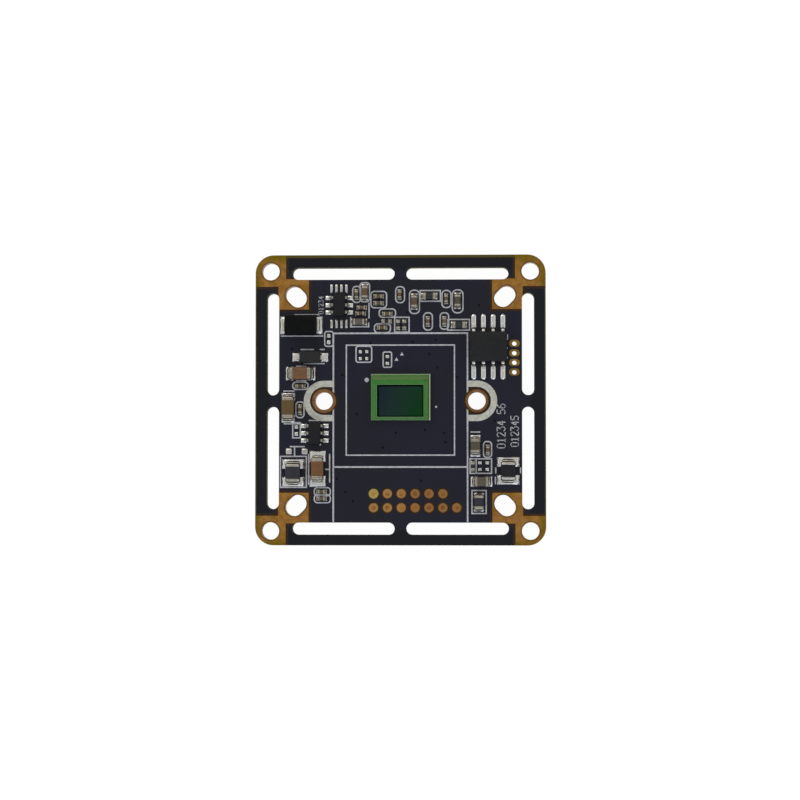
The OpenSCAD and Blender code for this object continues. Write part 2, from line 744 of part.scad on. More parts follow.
// Two overlapping gold squares in each corner, within the board's round outline
module corner_land_squares() {
    intersection() {
        corners() union() {
            translate([-corner_land_w, -corner_land_w, 0])
                cube([corner_land_w + over, corner_land_w + over, land_t]);
            translate([-corner_land_w - corner_land_step, -corner_land_w - corner_land_step, 0])
                cube([corner_land_w, corner_land_w, land_t]);
        }
        routed_plate(land_t);
    }
}

// Plated corners: the squares on both faces joined by the barrels of their holes
module corner_lands() {
    color("#9a6e34") difference() {
        union() {
            for (z = [-land_t, board_t])
                translate([0, 0, z]) corner_land_squares();
            corner_bores(plating_t, 0, board_t);
        }
        board_slots();
        corner_bores(0, -land_t - over, board_t + 2 * land_t + 2 * over);
    }
}

// Plated hole: a ring on each face joined by the barrel
module lens_hole_lands() {
    r = lens_hole_d / 2;
    color("#a0703a") lens_places() rotate_extrude() polygon([
        [r, -land_t], [r + lens_ring_w, -land_t], [r + lens_ring_w, 0], [r + plating_t, 0],
        [r + plating_t, board_t], [r + lens_ring_w, board_t], [r + lens_ring_w, seat], [r, seat]
    ]);
}

module header_lands() {
    color("#8a7040") header_places() difference() {
        union() {
            for (z = [-land_t, board_t])
                translate([0, 0, z]) oblong(header_land_l, header_land_w, land_t);
            cylinder(h = board_t, d = header_hole_d + 2 * plating_t);
        }
        translate([0, 0, -over]) cylinder(h = board_t + 2 * over, d = header_hole_d);
    }
}

// Two rows of round lands
module test_lands() {
    color("#b07a40")
        for (row = [0, 1])
            for (i = [0 : test_count - 1 + row])
                translate([i * test_pitch - test_left, -test_drop - row * test_row_step, board_t])
                    cylinder(h = land_t, d = test_d);
}

// Outlines of a leaded part's lands, in two rows along X
module lead_lands(count, pitch, span, toe, l, w, round_ends) {
    two_rows(count, pitch, span)
        translate([toe - l / 2, 0])
            if (round_ends)
                oblong_plan(l, w);
            else
                square([l, w], center = true);
}

// Outlines of a pair of lands between two distances from the middle
module end_lands(outer, inner, w) {
    for (s = [-1, 1])
        translate([s * (outer + inner) / 2, 0]) square([outer - inner, w], center = true);
}

// Outlines of the lands under the parts of the front
module part_land_plan() {
    at_each(BULK_AT) chip_lands(BULK);
    at_each([BULK_AT[2]]) chip_lands(TANK);
    at_each(MID_AT) chip_lands(MID);
    at_each(BEAD_AT) chip_lands(BEAD);
    at_each(SMALL_AT) chip_lands(SMALL);
    at_each(SENSE_AT) chip_lands(SENSE);
    at_each(CHIP_AT) chip_lands(CHIP);
    at_each(CHIP_R_AT) chip_lands(CHIP_R);
    at_each(LEFT_COIL_AT) chip_lands(COIL);
    at_each(RIGHT_COIL_AT) chip_lands(COIL);
    at_each([FLASH_AT])
        lead_lands(4, flash_pitch, flash_span, flash_land_toe, flash_land_l, flash_land_w, true);
    at_each([INPUT_REG_AT, CORE_REG_AT])
        lead_lands(3, reg_pitch, reg_span, reg_land_toe, reg_land_l, reg_land_w, false);
    at_each([RECT_AT])
        end_lands(rect_span / 2 + rect_land_toe, rect_span / 2 - rect_strap_t - rect_fold, rect_land_w);
    at_each([CLAMP_AT])
        end_lands(clamp_span / 2 + clamp_land_toe, clamp_l / 2, clamp_land_w);
}

module part_lands() {
    color("#b9b5a6") translate([0, 0, board_t]) linear_extrude(land_t) {
        part_land_plan();
        ball_places() circle(d = ball_d);
    }
}

// Outlines of the lands that carry no part
module spare_land_plan() {
    for (p = SPARE_AT)
        translate([p[0], p[1]]) square([p[2], p[3]], center = true);
    translate(SPARE_IC_AT) two_rows(4, SPARE_IC_PITCH, SPARE_IC_ROWS)
        square([SPARE_IC_LAND[1], SPARE_IC_LAND[0]], center = true);
}

module spare_lands() {
    color("#aeb0ae") translate([0, 0, board_t]) linear_extrude(land_t) spare_land_plan();
}

// ---------- White print ----------

// Printed outline of a box with round corners
module printed_box(w, h, r) {
    difference() {
        round_plan(w + print_w, h + print_w, r + print_w / 2);
        round_plan(w - print_w, h - print_w, r - print_w / 2);
    }
}

// The same with square corners
module printed_frame(w, h, line = print_w) {
    difference() {
        square([w + line, h + line], center = true);
        square([w - line, h - line], center = true);
    }
}

// A line between two points that share their x or their y
module printed_line(x1, y1, x2, y2, line = print_w) {
    translate([(x1 + x2) / 2, (y1 + y2) / 2])
        square([abs(x2 - x1) + line, abs(y2 - y1) + line], center = true);
}

// D-shaped ear of the lens holder round the screw hole at +X, open towards the outline
module printed_ear() {
    r = lens_hole_d / 2 + lens_ring_w + ear_gap;
    root = (lens_hole_pitch - holder_w) / 2;
    translate([lens_hole_pitch / 2, 0]) difference() {
        union() {
            intersection() {
                circle(r + ear_w);
                translate([-root, -2 * r]) square([4 * r, 4 * r]);
            }
            translate([-root, -r - ear_w]) square([root, 2 * (r + ear_w)]);
        }
        circle(r);
        translate([-2 * r, -r]) square([2 * r, 2 * r]);
    }
}

// Everything printed, before the lands are cleared
module print_plan() {
    translate([0, holder_y]) printed_frame(holder_w, holder_h, holder_line_w);
    translate([0, holder_y]) printed_frame(cavity_w, cavity_h);
    for (s = [-1, 1])
        printed_line(s * holder_w / 2, holder_y - holder_h / 2,
            s * holder_w / 2, holder_y - holder_h / 2 - holder_tail, holder_line_w);
    for (a = [0, 180])
        rotate(a) printed_ear();
    for (b = ROUND_BOXES)
        translate([b[0], b[1]]) printed_box(b[2], b[3], b[4]);
    for (b = BOXES)
        translate([b[0], b[1]]) printed_frame(b[2], b[3]);
    for (l = LINES)
        printed_line(l[0], l[1], l[2], l[3]);
    for (d = DOTS)
        translate([d[0], d[1]]) rotate(90) circle(d[2], $fn = d[3]);
}

// The print keeps clear of the lands
module white_print() {
    color("#bfc2c0") translate([0, 0, board_t]) linear_extrude(print_t) difference() {
        print_plan();
        lens_places() circle(lens_hole_d / 2 + lens_ring_w + print_gap);
        part_land_plan();
        spare_land_plan();
    }
}

// ---------- Image sensor ----------

// Grid of ball middles, eight by six without the inner four by two
module ball_places() {
    for (i = [0 : 7])
        for (j = [0 : 5])
            if (i < 2 || i > 5 || j < 2 || j > 3)
                translate([sensor_x + (i - 3.5) * ball_pitch, sensor_y + (j - 2.5) * ball_pitch, 0]) children();
}

module sensor_solder_balls() {
    color("#a8a8a4") ball_places() translate([0, 0, seat]) intersection() {
        translate([0, 0, ball_gap / 2]) sphere(d = ball_d);
        translate([-ball_d, -ball_d, 0]) cube([2 * ball_d, 2 * ball_d, ball_gap]);
    }
}

module sensor_die() {
    color("#3a4240") translate([sensor_x, sensor_y, seat + ball_gap + die_t / 2])
        cube([sensor_w, sensor_h, die_t], center = true);
}

module sensor_pixel_array() {
    color("#12301f") translate([0, 0, seat + ball_gap + die_t + array_t / 2])
        cube([array_w, array_h, array_t], center = true);
}

// Green frame between the silicon and the glass
module sensor_dam() {
    color("#3f8034") translate([0, 0, seat + ball_gap + die_t]) difference() {
        translate([sensor_x - sensor_w / 2, sensor_y - sensor_h / 2, 0]) cube([sensor_w, sensor_h, dam_t]);
        translate([-array_w / 2 - dam_margin, -array_h / 2 - dam_margin, -over])
            cube([array_w + 2 * dam_margin, array_h + 2 * dam_margin, dam_t + 2 * over]);
    }
}

module sensor_cover_glass() {
    color("#7fae80", 0.35) translate([sensor_x, sensor_y, seat + ball_gap + die_t + dam_t])
        beveled_block(sensor_w, sensor_h, glass_t, glass_bevel);
}

// ---------- Leaded packages ----------

// Body that stands a little over its seat and is parted at half height
module leaded_body(l, w, h, lead_t, stand) {
    translate([0, 0, stand]) moulded_body(l, w, h, (h - lead_t) / 2, lead_t);
}

// Height of the lead's middle where it leaves the body
function exit_z(h, stand) = stand + h / 2;

module two_rows(count, pitch, w) {
    for (a = [0, 180])
        rotate(a)
            for (i = [0 : count - 1])
                translate([(i - (count - 1) / 2) * pitch, w / 2, 0]) rotate(90) children();
}

module flash_body() {
    mark_inset = flash_h * draft + 2 * flash_mark_r;
    color("#2a2c2c") on_front([FLASH_AT]) difference() {
        leaded_body(flash_l, flash_w, flash_h, flash_lead_t, flash_stand);
        translate([mark_inset - flash_l / 2, mark_inset - flash_w / 2, flash_stand + flash_h - mark_depth])
            cylinder(h = over, r = flash_mark_r);
    }
}

module flash_leads() {
    color("#b7b5ab") on_front([FLASH_AT]) two_rows(4, flash_pitch, flash_w)
        gull_lead((flash_span - flash_w) / 2, exit_z(flash_h, flash_stand),
            flash_lead_t, flash_foot, flash_lead_w);
}

module regulator_body(at) {
    color("#26282a") on_front([at]) leaded_body(reg_l, reg_w, reg_h, reg_lead_t, small_stand);
}

module regulator_leads(at) {
    color("#b5b3aa") on_front([at]) two_rows(3, reg_pitch, reg_w)
        gull_lead((reg_span - reg_w) / 2, exit_z(reg_h, small_stand), reg_lead_t, reg_foot, reg_lead_w);
}

module input_regulator_body() {
    regulator_body(INPUT_REG_AT);
}

module input_regulator_leads() {
    regulator_leads(INPUT_REG_AT);
}

module core_regulator_body() {
    regulator_body(CORE_REG_AT);
}

module core_regulator_leads() {
    regulator_leads(CORE_REG_AT);
}

module rectifier_body() {
    color("#17191a") on_front([RECT_AT])
        leaded_body(rect_l, rect_w, rect_h, rect_strap_t, rect_strap_t);
}

module rectifier_straps() {
    color("#a5a193") on_front([RECT_AT]) for (a = [0, 180])
        rotate(a) translate([rect_l / 2, 0, 0]) folded_strap((rect_span - rect_l) / 2,
            exit_z(rect_h, rect_strap_t), rect_strap_t, rect_fold, rect_strap_w);
}

module clamp_diode_body() {
    color("#26292a") on_front([CLAMP_AT])
        leaded_body(clamp_l, clamp_w, clamp_h, clamp_lead_t, small_stand);
}

module clamp_diode_leads() {
    color("#b5b3aa") on_front([CLAMP_AT]) for (a = [0, 180])
        rotate(a) translate([clamp_l / 2, 0, 0]) gull_lead((clamp_span - clamp_l) / 2,
            exit_z(clamp_h, small_stand), clamp_lead_t, clamp_foot, clamp_lead_w);
}

// ---------- Two-ended parts in place ----------

module left_inductor_core() {
    color("#2e2c34") on_front(LEFT_COIL_AT) chip_block(COIL);
}

module left_inductor_terminals() {
    color("#9c9a8e") on_front(LEFT_COIL_AT) chip_caps(COIL);
}

module right_inductor_core() {
    color("#2e2c34") on_front(RIGHT_COIL_AT) chip_block(COIL);
}

module right_inductor_terminals() {
    color("#9c9a8e") on_front(RIGHT_COIL_AT) chip_caps(COIL);
}

module bulk_capacitor_bodies() {
    color("#755234") on_front(BULK_AT) chip_block(BULK);
}

module bulk_capacitor_ends() {
    color("#a09a8c") on_front(BULK_AT) chip_caps(BULK);
}

module filter_capacitor_bodies() {
    color("#5a5138") on_front(MID_AT) chip_block(MID);
}

module filter_capacitor_ends() {
    color("#a8a498") on_front(MID_AT) chip_caps(MID);
}

module ferrite_bead_body() {
    color("#2c2b30") on_front(BEAD_AT) chip_block(BEAD);
}

module ferrite_bead_ends() {
    color("#9c9c94") on_front(BEAD_AT) chip_caps(BEAD);
}

module small_capacitor_bodies() {
    color("#6b5238") on_front(SMALL_AT) chip_block(SMALL);
}

module small_capacitor_ends() {
    color("#a39d8e") on_front(SMALL_AT) chip_caps(SMALL);
}

module sense_resistor_bodies() {
    color("#2c3432") on_front(SENSE_AT) chip_block(SENSE);
}

module sense_resistor_ends() {
    color("#b0aea4") on_front(SENSE_AT) chip_caps(SENSE);
}

module chip_capacitor_bodies() {
    color("#6d5a44") on_front(CHIP_AT) chip_block(CHIP);
}

module chip_capacitor_ends() {
    color("#a39d8e") on_front(CHIP_AT) chip_caps(CHIP);
}

module chip_resistor_bodies() {
    color("#26282a") on_front(CHIP_R_AT) chip_block(CHIP_R);
}

module chip_resistor_ends() {
    color("#b0aea4") on_front(CHIP_R_AT) chip_caps(CHIP_R);
}

// Solder at the ends of every chip and at the toes of every lead
module solder_fillets() {
    color("#b4b2a6") {
        on_front(BULK_AT) chip_solder(BULK);
        on_front(MID_AT) chip_solder(MID);
        on_front(BEAD_AT) chip_solder(BEAD);
        on_front(SMALL_AT) chip_solder(SMALL);
        on_front(SENSE_AT) chip_solder(SENSE);
        on_front(CHIP_AT) chip_solder(CHIP);
        on_front(CHIP_R_AT) chip_solder(CHIP_R);
        on_front(LEFT_COIL_AT) chip_solder(COIL);
        on_front(RIGHT_COIL_AT) chip_solder(COIL);
        on_front([FLASH_AT]) two_rows(4, flash_pitch, flash_span)
            solder_wedge(0.4, flash_lead_t, flash_lead_w);
        on_front([INPUT_REG_AT, CORE_REG_AT]) two_rows(3, reg_pitch, reg_span)
            solder_wedge(0.25, reg_lead_t, reg_lead_w);
    }
}

// ---------- Back ----------

// Terminals along the package's four edges, and the heat land in its middle
module processor_metal() {
    for (a = [0 : 90 : 270])
        rotate(a)
            for (i = [0 : proc_count - 1])
                translate([(i - (proc_count - 1) / 2) * proc_pitch - proc_pin_w / 2, proc_w / 2 - proc_pin_l, 0])
                    cube([proc_pin_w, proc_pin_l, proc_pin_t]);
    translate([-proc_heat_w / 2, -proc_heat_w / 2, 0]) cube([proc_heat_w, proc_heat_w, proc_pin_t]);
}

module processor_body() {
    color("#1d1f21") on_back([PROC_AT]) difference() {
        beveled_block(proc_w, proc_w, proc_h, mark_depth);
        processor_metal();
        translate([3 * proc_mark_r - proc_w / 2, proc_w / 2 - 3 * proc_mark_r, proc_h - mark_depth])
            cylinder(h = over, r = proc_mark_r);
    }
}

module processor_terminals() {
    color("#b5b3aa") on_back([PROC_AT]) processor_metal();
}

module crystal_base() {
    color("#4a4034") on_back([CRYSTAL_AT])
        translate([-crystal_l / 2, -crystal_w / 2, 0]) cube([crystal_l, crystal_w, crystal_base_h]);
}

module crystal_lid() {
    color("#c4c1b6") on_back([CRYSTAL_AT]) translate([0, 0, crystal_base_h])
        round_plate(crystal_l - 2 * crystal_lip, crystal_w - 2 * crystal_lip, crystal_lid_h, 2 * crystal_lip);
}

// Places a connector with its mouth flush with the inner board's edge
module at_bottom_edge() {
    translate([0, -inner_y, -land_t]) mirror([0, 0, 1]) children();
}

module at_top_edge() {
    rotate(180) at_bottom_edge() children();
}

// Length of a housing for a number of contacts
function housing_l(count) = (count - 1) * contact_pitch + 2 * housing_end;

// Side-entry housing: mouth at y = 0 facing -Y, board below it at z = 0
module connector_housing(count) {
    l = housing_l(count);
    inside_l = l - 2 * housing_wall;
    inside_h = housing_h - 2 * housing_wall;
    difference() {
        translate([-l / 2, 0, 0]) cube([l, housing_d, housing_h]);
        translate([-inside_l / 2, -over, housing_wall])
            cube([inside_l, housing_d - housing_rear + over, inside_h]);
        for (s = [-1, 1])
            translate([s * (count - 1) * contact_pitch / 2 - keyway_w / 2, -over, housing_h - housing_wall - over])
                cube([keyway_w, keyway_l + over, housing_wall + 2 * over]);
        contact_places(count) translate([-contact_w / 2, -over, contact_z - contact_w / 2])
            cube([contact_w, housing_d + 2 * over, contact_w]);
    }
}

module contact_places(count) {
    for (i = [0 : count - 1])
        translate([(i - (count - 1) / 2) * contact_pitch, 0, 0]) children();
}

// Contacts: a straight blade through the rear wall, then a gull foot behind the housing
module connector_contacts(count) {
    contact_places(count) {
        translate([-contact_w / 2, contact_setback, contact_z - contact_w / 2])
            cube([contact_w, housing_d - contact_setback, contact_w]);
        translate([0, housing_d, 0]) rotate(90)
            gull_lead(contact_reach, contact_z, contact_w, contact_foot, contact_w);
    }
}

// Angled fitting tabs against both ends of the housing
module connector_tabs(count) {
    for (s = [0, 1])
        mirror([s, 0, 0]) translate([housing_l(count) / 2, tab_setback, 0]) {
            cube([tab_foot, tab_d, tab_t]);
            cube([tab_t, tab_d, tab_h]);
        }
}

// Outlines of the lands of a connector at the bottom edge
module connector_lands(count) {
    foot_y = housing_d + contact_reach;
    contact_places(count)
        translate([0, foot_y - contact_foot / 2]) square([contact_w, contact_foot] + 2 * land_edge, center = true);
    for (s = [-1, 1])
        translate([s * (housing_l(count) + tab_foot) / 2, tab_setback + tab_d / 2])
            square([tab_foot, tab_d] + land_edge, center = true);
}

module main_connector_housing() {
    color("#d8d2c0") at_bottom_edge() connector_housing(main_contacts);
}

module main_connector_contacts() {
    color("#b8a878") at_bottom_edge() connector_contacts(main_contacts);
}

module main_connector_tabs() {
    color("#b5b3aa") at_bottom_edge() connector_tabs(main_contacts);
}

module filter_connector_housing() {
    color("#d8d2c0") at_top_edge() connector_housing(filter_contacts);
}

module filter_connector_contacts() {
    color("#b8a878") at_top_edge() connector_contacts(filter_contacts);
}

module filter_connector_tabs() {
    color("#b5b3aa") at_top_edge() connector_tabs(filter_contacts);
}

module back_capacitor_bodies() {
    color("#6d5a44") on_back(BACK_CHIP_AT) chip_block(CHIP);
}

module back_capacitor_ends() {
    color("#a39d8e") on_back(BACK_CHIP_AT) chip_caps(CHIP);
}

// Outlines of the processor's lands, which run out past its edge
module processor_lands() {
    reach = proc_pin_l + proc_land_toe;
    for (a = [0, 90])
        rotate(a) two_rows(proc_count, proc_pitch, proc_w)
            translate([proc_land_toe - reach / 2, 0]) square([reach, proc_pin_w], center = true);
    square(proc_heat_w, center = true);
}

// Outlines of the lands under the crystal's corners
module crystal_lands() {
    for (x = [-1, 1])
        for (y = [-1, 1])
            translate([x * (crystal_l - crystal_land) / 2, y * (crystal_w - crystal_land) / 2])
                square(crystal_land, center = true);
}

module back_lands() {
    color("#b0a890") translate([0, 0, -land_t]) linear_extrude(land_t) {
        at_each(BACK_CHIP_AT) chip_lands(CHIP);
        at_each([PROC_AT]) processor_lands();
        at_each([CRYSTAL_AT]) crystal_lands();
        translate([0, -inner_y]) connector_lands(main_contacts);
        rotate(180) translate([0, -inner_y]) connector_lands(filter_contacts);
    }
}

module back_solder() {
    color("#b4b2a6") {
        on_back(BACK_CHIP_AT) chip_solder(CHIP);
        at_bottom_edge() contact_solder(main_contacts);
        at_top_edge() contact_solder(filter_contacts);
    }
}

// Solder at the toes of a connector's contacts
module contact_solder(count) {
    contact_places(count)
        translate([0, housing_d + contact_reach, 0]) rotate(90) solder_wedge(0.4, contact_w, contact_w);
}

// ---------- Nodes ----------

board();
corner_lands();
lens_hole_lands();
header_lands();
test_lands();
part_lands();
spare_lands();
white_print();
solder_fillets();
sensor_die();
sensor_pixel_array();
sensor_dam();
sensor_cover_glass();
sensor_solder_balls();
flash_body();
flash_leads();
input_regulator_body();
input_regulator_leads();
core_regulator_body();
core_regulator_leads();
rectifier_body();
rectifier_straps();
clamp_diode_body();
clamp_diode_leads();
left_inductor_core();
left_inductor_terminals();
right_inductor_core();
right_inductor_terminals();
bulk_capacitor_bodies();
bulk_capacitor_ends();
filter_capacitor_bodies();
filter_capacitor_ends();
ferrite_bead_body();
ferrite_bead_ends();
small_capacitor_bodies();
small_capacitor_ends();
sense_resistor_bodies();
sense_resistor_ends();
chip_capacitor_bodies();
chip_capacitor_ends();
chip_resistor_bodies();
chip_resistor_ends();
processor_body();
processor_terminals();
crystal_base();
crystal_lid();
main_connector_housing();
main_connector_contacts();
main_connector_tabs();
filter_connector_housing();
filter_connector_contacts();
filter_connector_tabs();
back_capacitor_bodies();
back_capacitor_ends();
back_lands();
back_solder();
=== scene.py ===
# %% [markdown]
# # A bare camera board, dressed for its portrait
# The object is the small square circuit board that sits inside a surveillance camera. Its frame
# of laminate, packages, leads and sockets comes from CAD, already in place and to size. This
# script gives that frame its surfaces: solder that has flowed, softly rounded chips, printed ink,
# bare gold, coloured glass. Every size below is in millimetres until it is put into a mesh.

# %% Load the frame
import math

import bmesh
import bpy
import numpy as np
from mathutils import Matrix, Vector


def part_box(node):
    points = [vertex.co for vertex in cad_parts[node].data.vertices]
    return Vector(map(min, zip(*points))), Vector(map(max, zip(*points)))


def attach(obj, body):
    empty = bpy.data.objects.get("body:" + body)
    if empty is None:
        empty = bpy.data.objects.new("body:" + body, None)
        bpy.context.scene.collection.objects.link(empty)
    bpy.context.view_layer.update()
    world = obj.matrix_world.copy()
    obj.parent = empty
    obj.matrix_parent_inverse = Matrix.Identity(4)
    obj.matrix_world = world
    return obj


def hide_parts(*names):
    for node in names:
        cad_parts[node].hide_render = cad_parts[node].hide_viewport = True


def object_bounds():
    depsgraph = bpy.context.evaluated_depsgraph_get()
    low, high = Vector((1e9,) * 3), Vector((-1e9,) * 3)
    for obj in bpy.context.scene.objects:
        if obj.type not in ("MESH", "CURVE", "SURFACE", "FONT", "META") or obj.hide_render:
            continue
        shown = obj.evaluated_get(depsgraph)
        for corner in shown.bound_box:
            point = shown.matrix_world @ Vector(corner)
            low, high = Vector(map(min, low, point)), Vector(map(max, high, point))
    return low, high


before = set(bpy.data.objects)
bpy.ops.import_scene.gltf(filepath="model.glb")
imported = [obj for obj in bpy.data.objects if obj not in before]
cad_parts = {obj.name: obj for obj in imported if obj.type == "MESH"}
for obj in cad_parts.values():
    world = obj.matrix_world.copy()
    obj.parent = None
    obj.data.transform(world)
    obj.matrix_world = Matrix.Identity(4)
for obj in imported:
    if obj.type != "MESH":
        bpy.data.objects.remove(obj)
cad_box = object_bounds()
MM = 0.001
print("nodes:", len(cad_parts), "size in mm:", [round(c / MM, 2) for c in cad_box[1] - cad_box[0]])

# %% [markdown]
# ## Reading sizes off the frame
# One CAD node may hold many separate solids, such as all the wedges of solder. They could be told
# apart by selecting linked faces one after another, but whole arrays are quicker: every point
# starts with its own number, and numbers spread along the edges until each solid has just one.


# %% Separate solids of a node
def points_of(mesh):
    """The points of a mesh, in millimetres."""
    points = np.empty(len(mesh.vertices) * 3, np.float32)
    mesh.vertices.foreach_get("co", points)
    return points.reshape(-1, 3) / MM


def solids_of(node):
    """The corner points, in millimetres, of each separate solid of a CAD node.

    Points at one place count as one. Each takes the lowest number among itself and its neighbours,
    again and again, until nothing changes.
    """
    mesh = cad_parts[node].data
    mesh.calc_loop_triangles()
    points = points_of(mesh)
    corners = np.empty(len(mesh.loop_triangles) * 3, np.int32)
    mesh.loop_triangles.foreach_get("vertices", corners)
    _, same = np.unique(np.round(points, 4), axis=0, return_inverse=True)
    same = same.ravel()
    corners = same[corners].reshape(-1, 3)
    edges = np.vstack([corners[:, [0, 1]], corners[:, [1, 2]]])
    label = np.arange(same.max() + 1)
    while True:
        lowest = label[edges].min(axis=1)
        spread = label.copy()
        np.minimum.at(spread, edges[:, 0], lowest)
        np.minimum.at(spread, edges[:, 1], lowest)
        if np.array_equal(spread, label):
            break
        label = spread
    return [points[label[same] == k] for k in np.unique(label)]


def box_of(points):
    """Lowest and highest corner of some points."""
    return points.min(axis=0), points.max(axis=0)


wedges = solids_of("solder_fillets")
board_low, board_high = (np.array(c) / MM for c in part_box("board"))
print("solder joints on the front:", len(wedges), "board top at", round(float(board_high[2]), 3), "mm")

# %% [markdown]
# ## From arrays to meshes
# A surface here is a grid of points worked out by a formula. One helper turns such grids into a
# mesh object, one gives it its material, its body and its slot. A mesh made of whole arrays needs
# no edit mode and comes out the same on every run.


# %% Grid surfaces and finished pieces
def grid_faces(rows, columns, first=0):
    """Four-cornered faces of a grid of points stored row by row, starting at point number first."""
    r, c = np.meshgrid(np.arange(rows - 1), np.arange(columns - 1), indexing="ij")
    a = (r * columns + c).ravel() + first
    return np.stack([a, a + 1, a + columns + 1, a + columns], axis=1)


def new_mesh(name, points, faces, smooth=True):
    """A mesh object from points in millimetres and faces of four corners."""
    mesh = bpy.data.meshes.new(name)
    mesh.from_pydata((np.asarray(points) * MM).tolist(), [], np.asarray(faces).tolist())
    work = bmesh.new()
    work.from_mesh(mesh)
    bmesh.ops.remove_doubles(work, verts=work.verts, dist=1e-7)
    bmesh.ops.dissolve_degenerate(work, edges=work.edges, dist=1e-8)
    bmesh.ops.recalc_face_normals(work, faces=work.faces)
    work.to_mesh(mesh)
    work.free()
    mesh.polygons.foreach_set("use_smooth", [smooth] * len(mesh.polygons))
    piece = bpy.data.objects.new(name, mesh)
    bpy.context.scene.collection.objects.link(piece)
    return piece


def finished(piece, finish, slot, *replaced):
    """Gives a piece its material, lets it ride with the board and hides the CAD nodes it replaces."""
    piece.data.materials.clear()
    piece.data.materials.append(finish.material)
    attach(piece, "root")
    if replaced:
        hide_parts(*replaced)
    return piece


# %% [markdown]
# ## A short language for materials
# Each finish below is a small tree of shader nodes. Wiring nodes one by one takes many lines, so
# a tree gets a few verbs: noise, ramp, band, mix and so on. All patterns read Object coordinates,
# turned to millimetres first, so that a number in a recipe is a real distance on the board.


# %% Material verbs
class Value:
    """The output of a shader node. Sums and products with it add Math nodes behind it."""

    def __init__(self, tree, socket):
        self.tree, self.socket = tree, socket

    def __add__(self, other):
        return self.tree.math("ADD", self, other)

    def __sub__(self, other):
        return self.tree.math("SUBTRACT", self, other)

    def __mul__(self, other):
        return self.tree.math("MULTIPLY", self, other)

    def __abs__(self):
        return self.tree.math("ABSOLUTE", self)


class NodeTree:
    """A tree of shader nodes and the verbs that build it."""

    def __init__(self, tree):
        self.tree = tree

    def put(self, socket, value):
        """Links a Value to a socket, or fills the socket with a plain number or colour."""
        if isinstance(value, Value):
            self.tree.links.new(value.socket, socket)
        elif hasattr(socket.default_value, "__len__") and len(socket.default_value) == 4 and len(value) == 3:
            socket.default_value = (*value, 1)
        else:
            socket.default_value = value

    def add(self, kind, sockets=(), output=0, **properties):
        """One output of a new node, after its properties and its sockets are filled in."""
        node = self.tree.nodes.new("ShaderNode" + kind)
        for key, value in properties.items():
            setattr(node, key, value)
        for key, value in dict(sockets).items():
            self.put(node.inputs[key], value)
        return Value(self, node.outputs[output])

    def split(self, vector):
        """The three parts of a vector."""
        node = self.tree.nodes.new("ShaderNodeSeparateXYZ")
        self.put(node.inputs[0], vector)
        return [Value(self, part) for part in node.outputs]

    def math(self, operation, a, b=0.0, c=0.0):
        return self.add("Math", {0: a, 1: b, 2: c}, operation=operation)

    def larger(self, a, b):
        return self.math("MAXIMUM", a, b)

    def length(self, a, b):
        """How long a step is that goes a one way and b across: the root of a^2 + b^2."""
        return self.math("SQRT", a * a + b * b)

    def step(self, value, start, end, low=0.0, high=1.0):
        """Turns value from low to high smoothly as it goes from start to end."""
        sockets = {"Value": value, "From Min": start, "From Max": end, "To Min": low, "To Max": high}
        return self.add("MapRange", sockets, "Result", interpolation_type="SMOOTHSTEP")

    def band(self, value, centre, half, soft=0.02):
        """One where value is within half of centre, with soft edges, and nought elsewhere."""
        return self.step(abs(value - centre), half - soft, half + soft, 1.0, 0.0)

    def mix(self, share, a, b):
        """Colour a where share is nought, colour b where it is one."""
        return self.add("Mix", {0: share, 6: a, 7: b}, 2, data_type="RGBA")

    def blend(self, share, a, b):
        """Shader a where share is nought, shader b where it is one."""
        return self.add("MixShader", {0: share, 1: a, 2: b})

    def ramp(self, value, *stops):
        """Colours that follow one another as value goes from nought to one."""
        node = self.tree.nodes.new("ShaderNodeValToRGB")
        while len(node.color_ramp.elements) < len(stops):
            node.color_ramp.elements.new(0.5)
        for element, (at, color) in zip(node.color_ramp.elements, stops):
            element.position = at
            element.color = (*color, 1)
        self.put(node.inputs["Fac"], value)
        return Value(self, node.outputs["Color"])

    def seen(self):
        """One on rays that reach the viewer straight or through clear glass, nought on others."""
        kinds = ("Camera", "Transmission")
        return self.larger(*(self.add("LightPath", (), f"Is {kind} Ray") for kind in kinds))


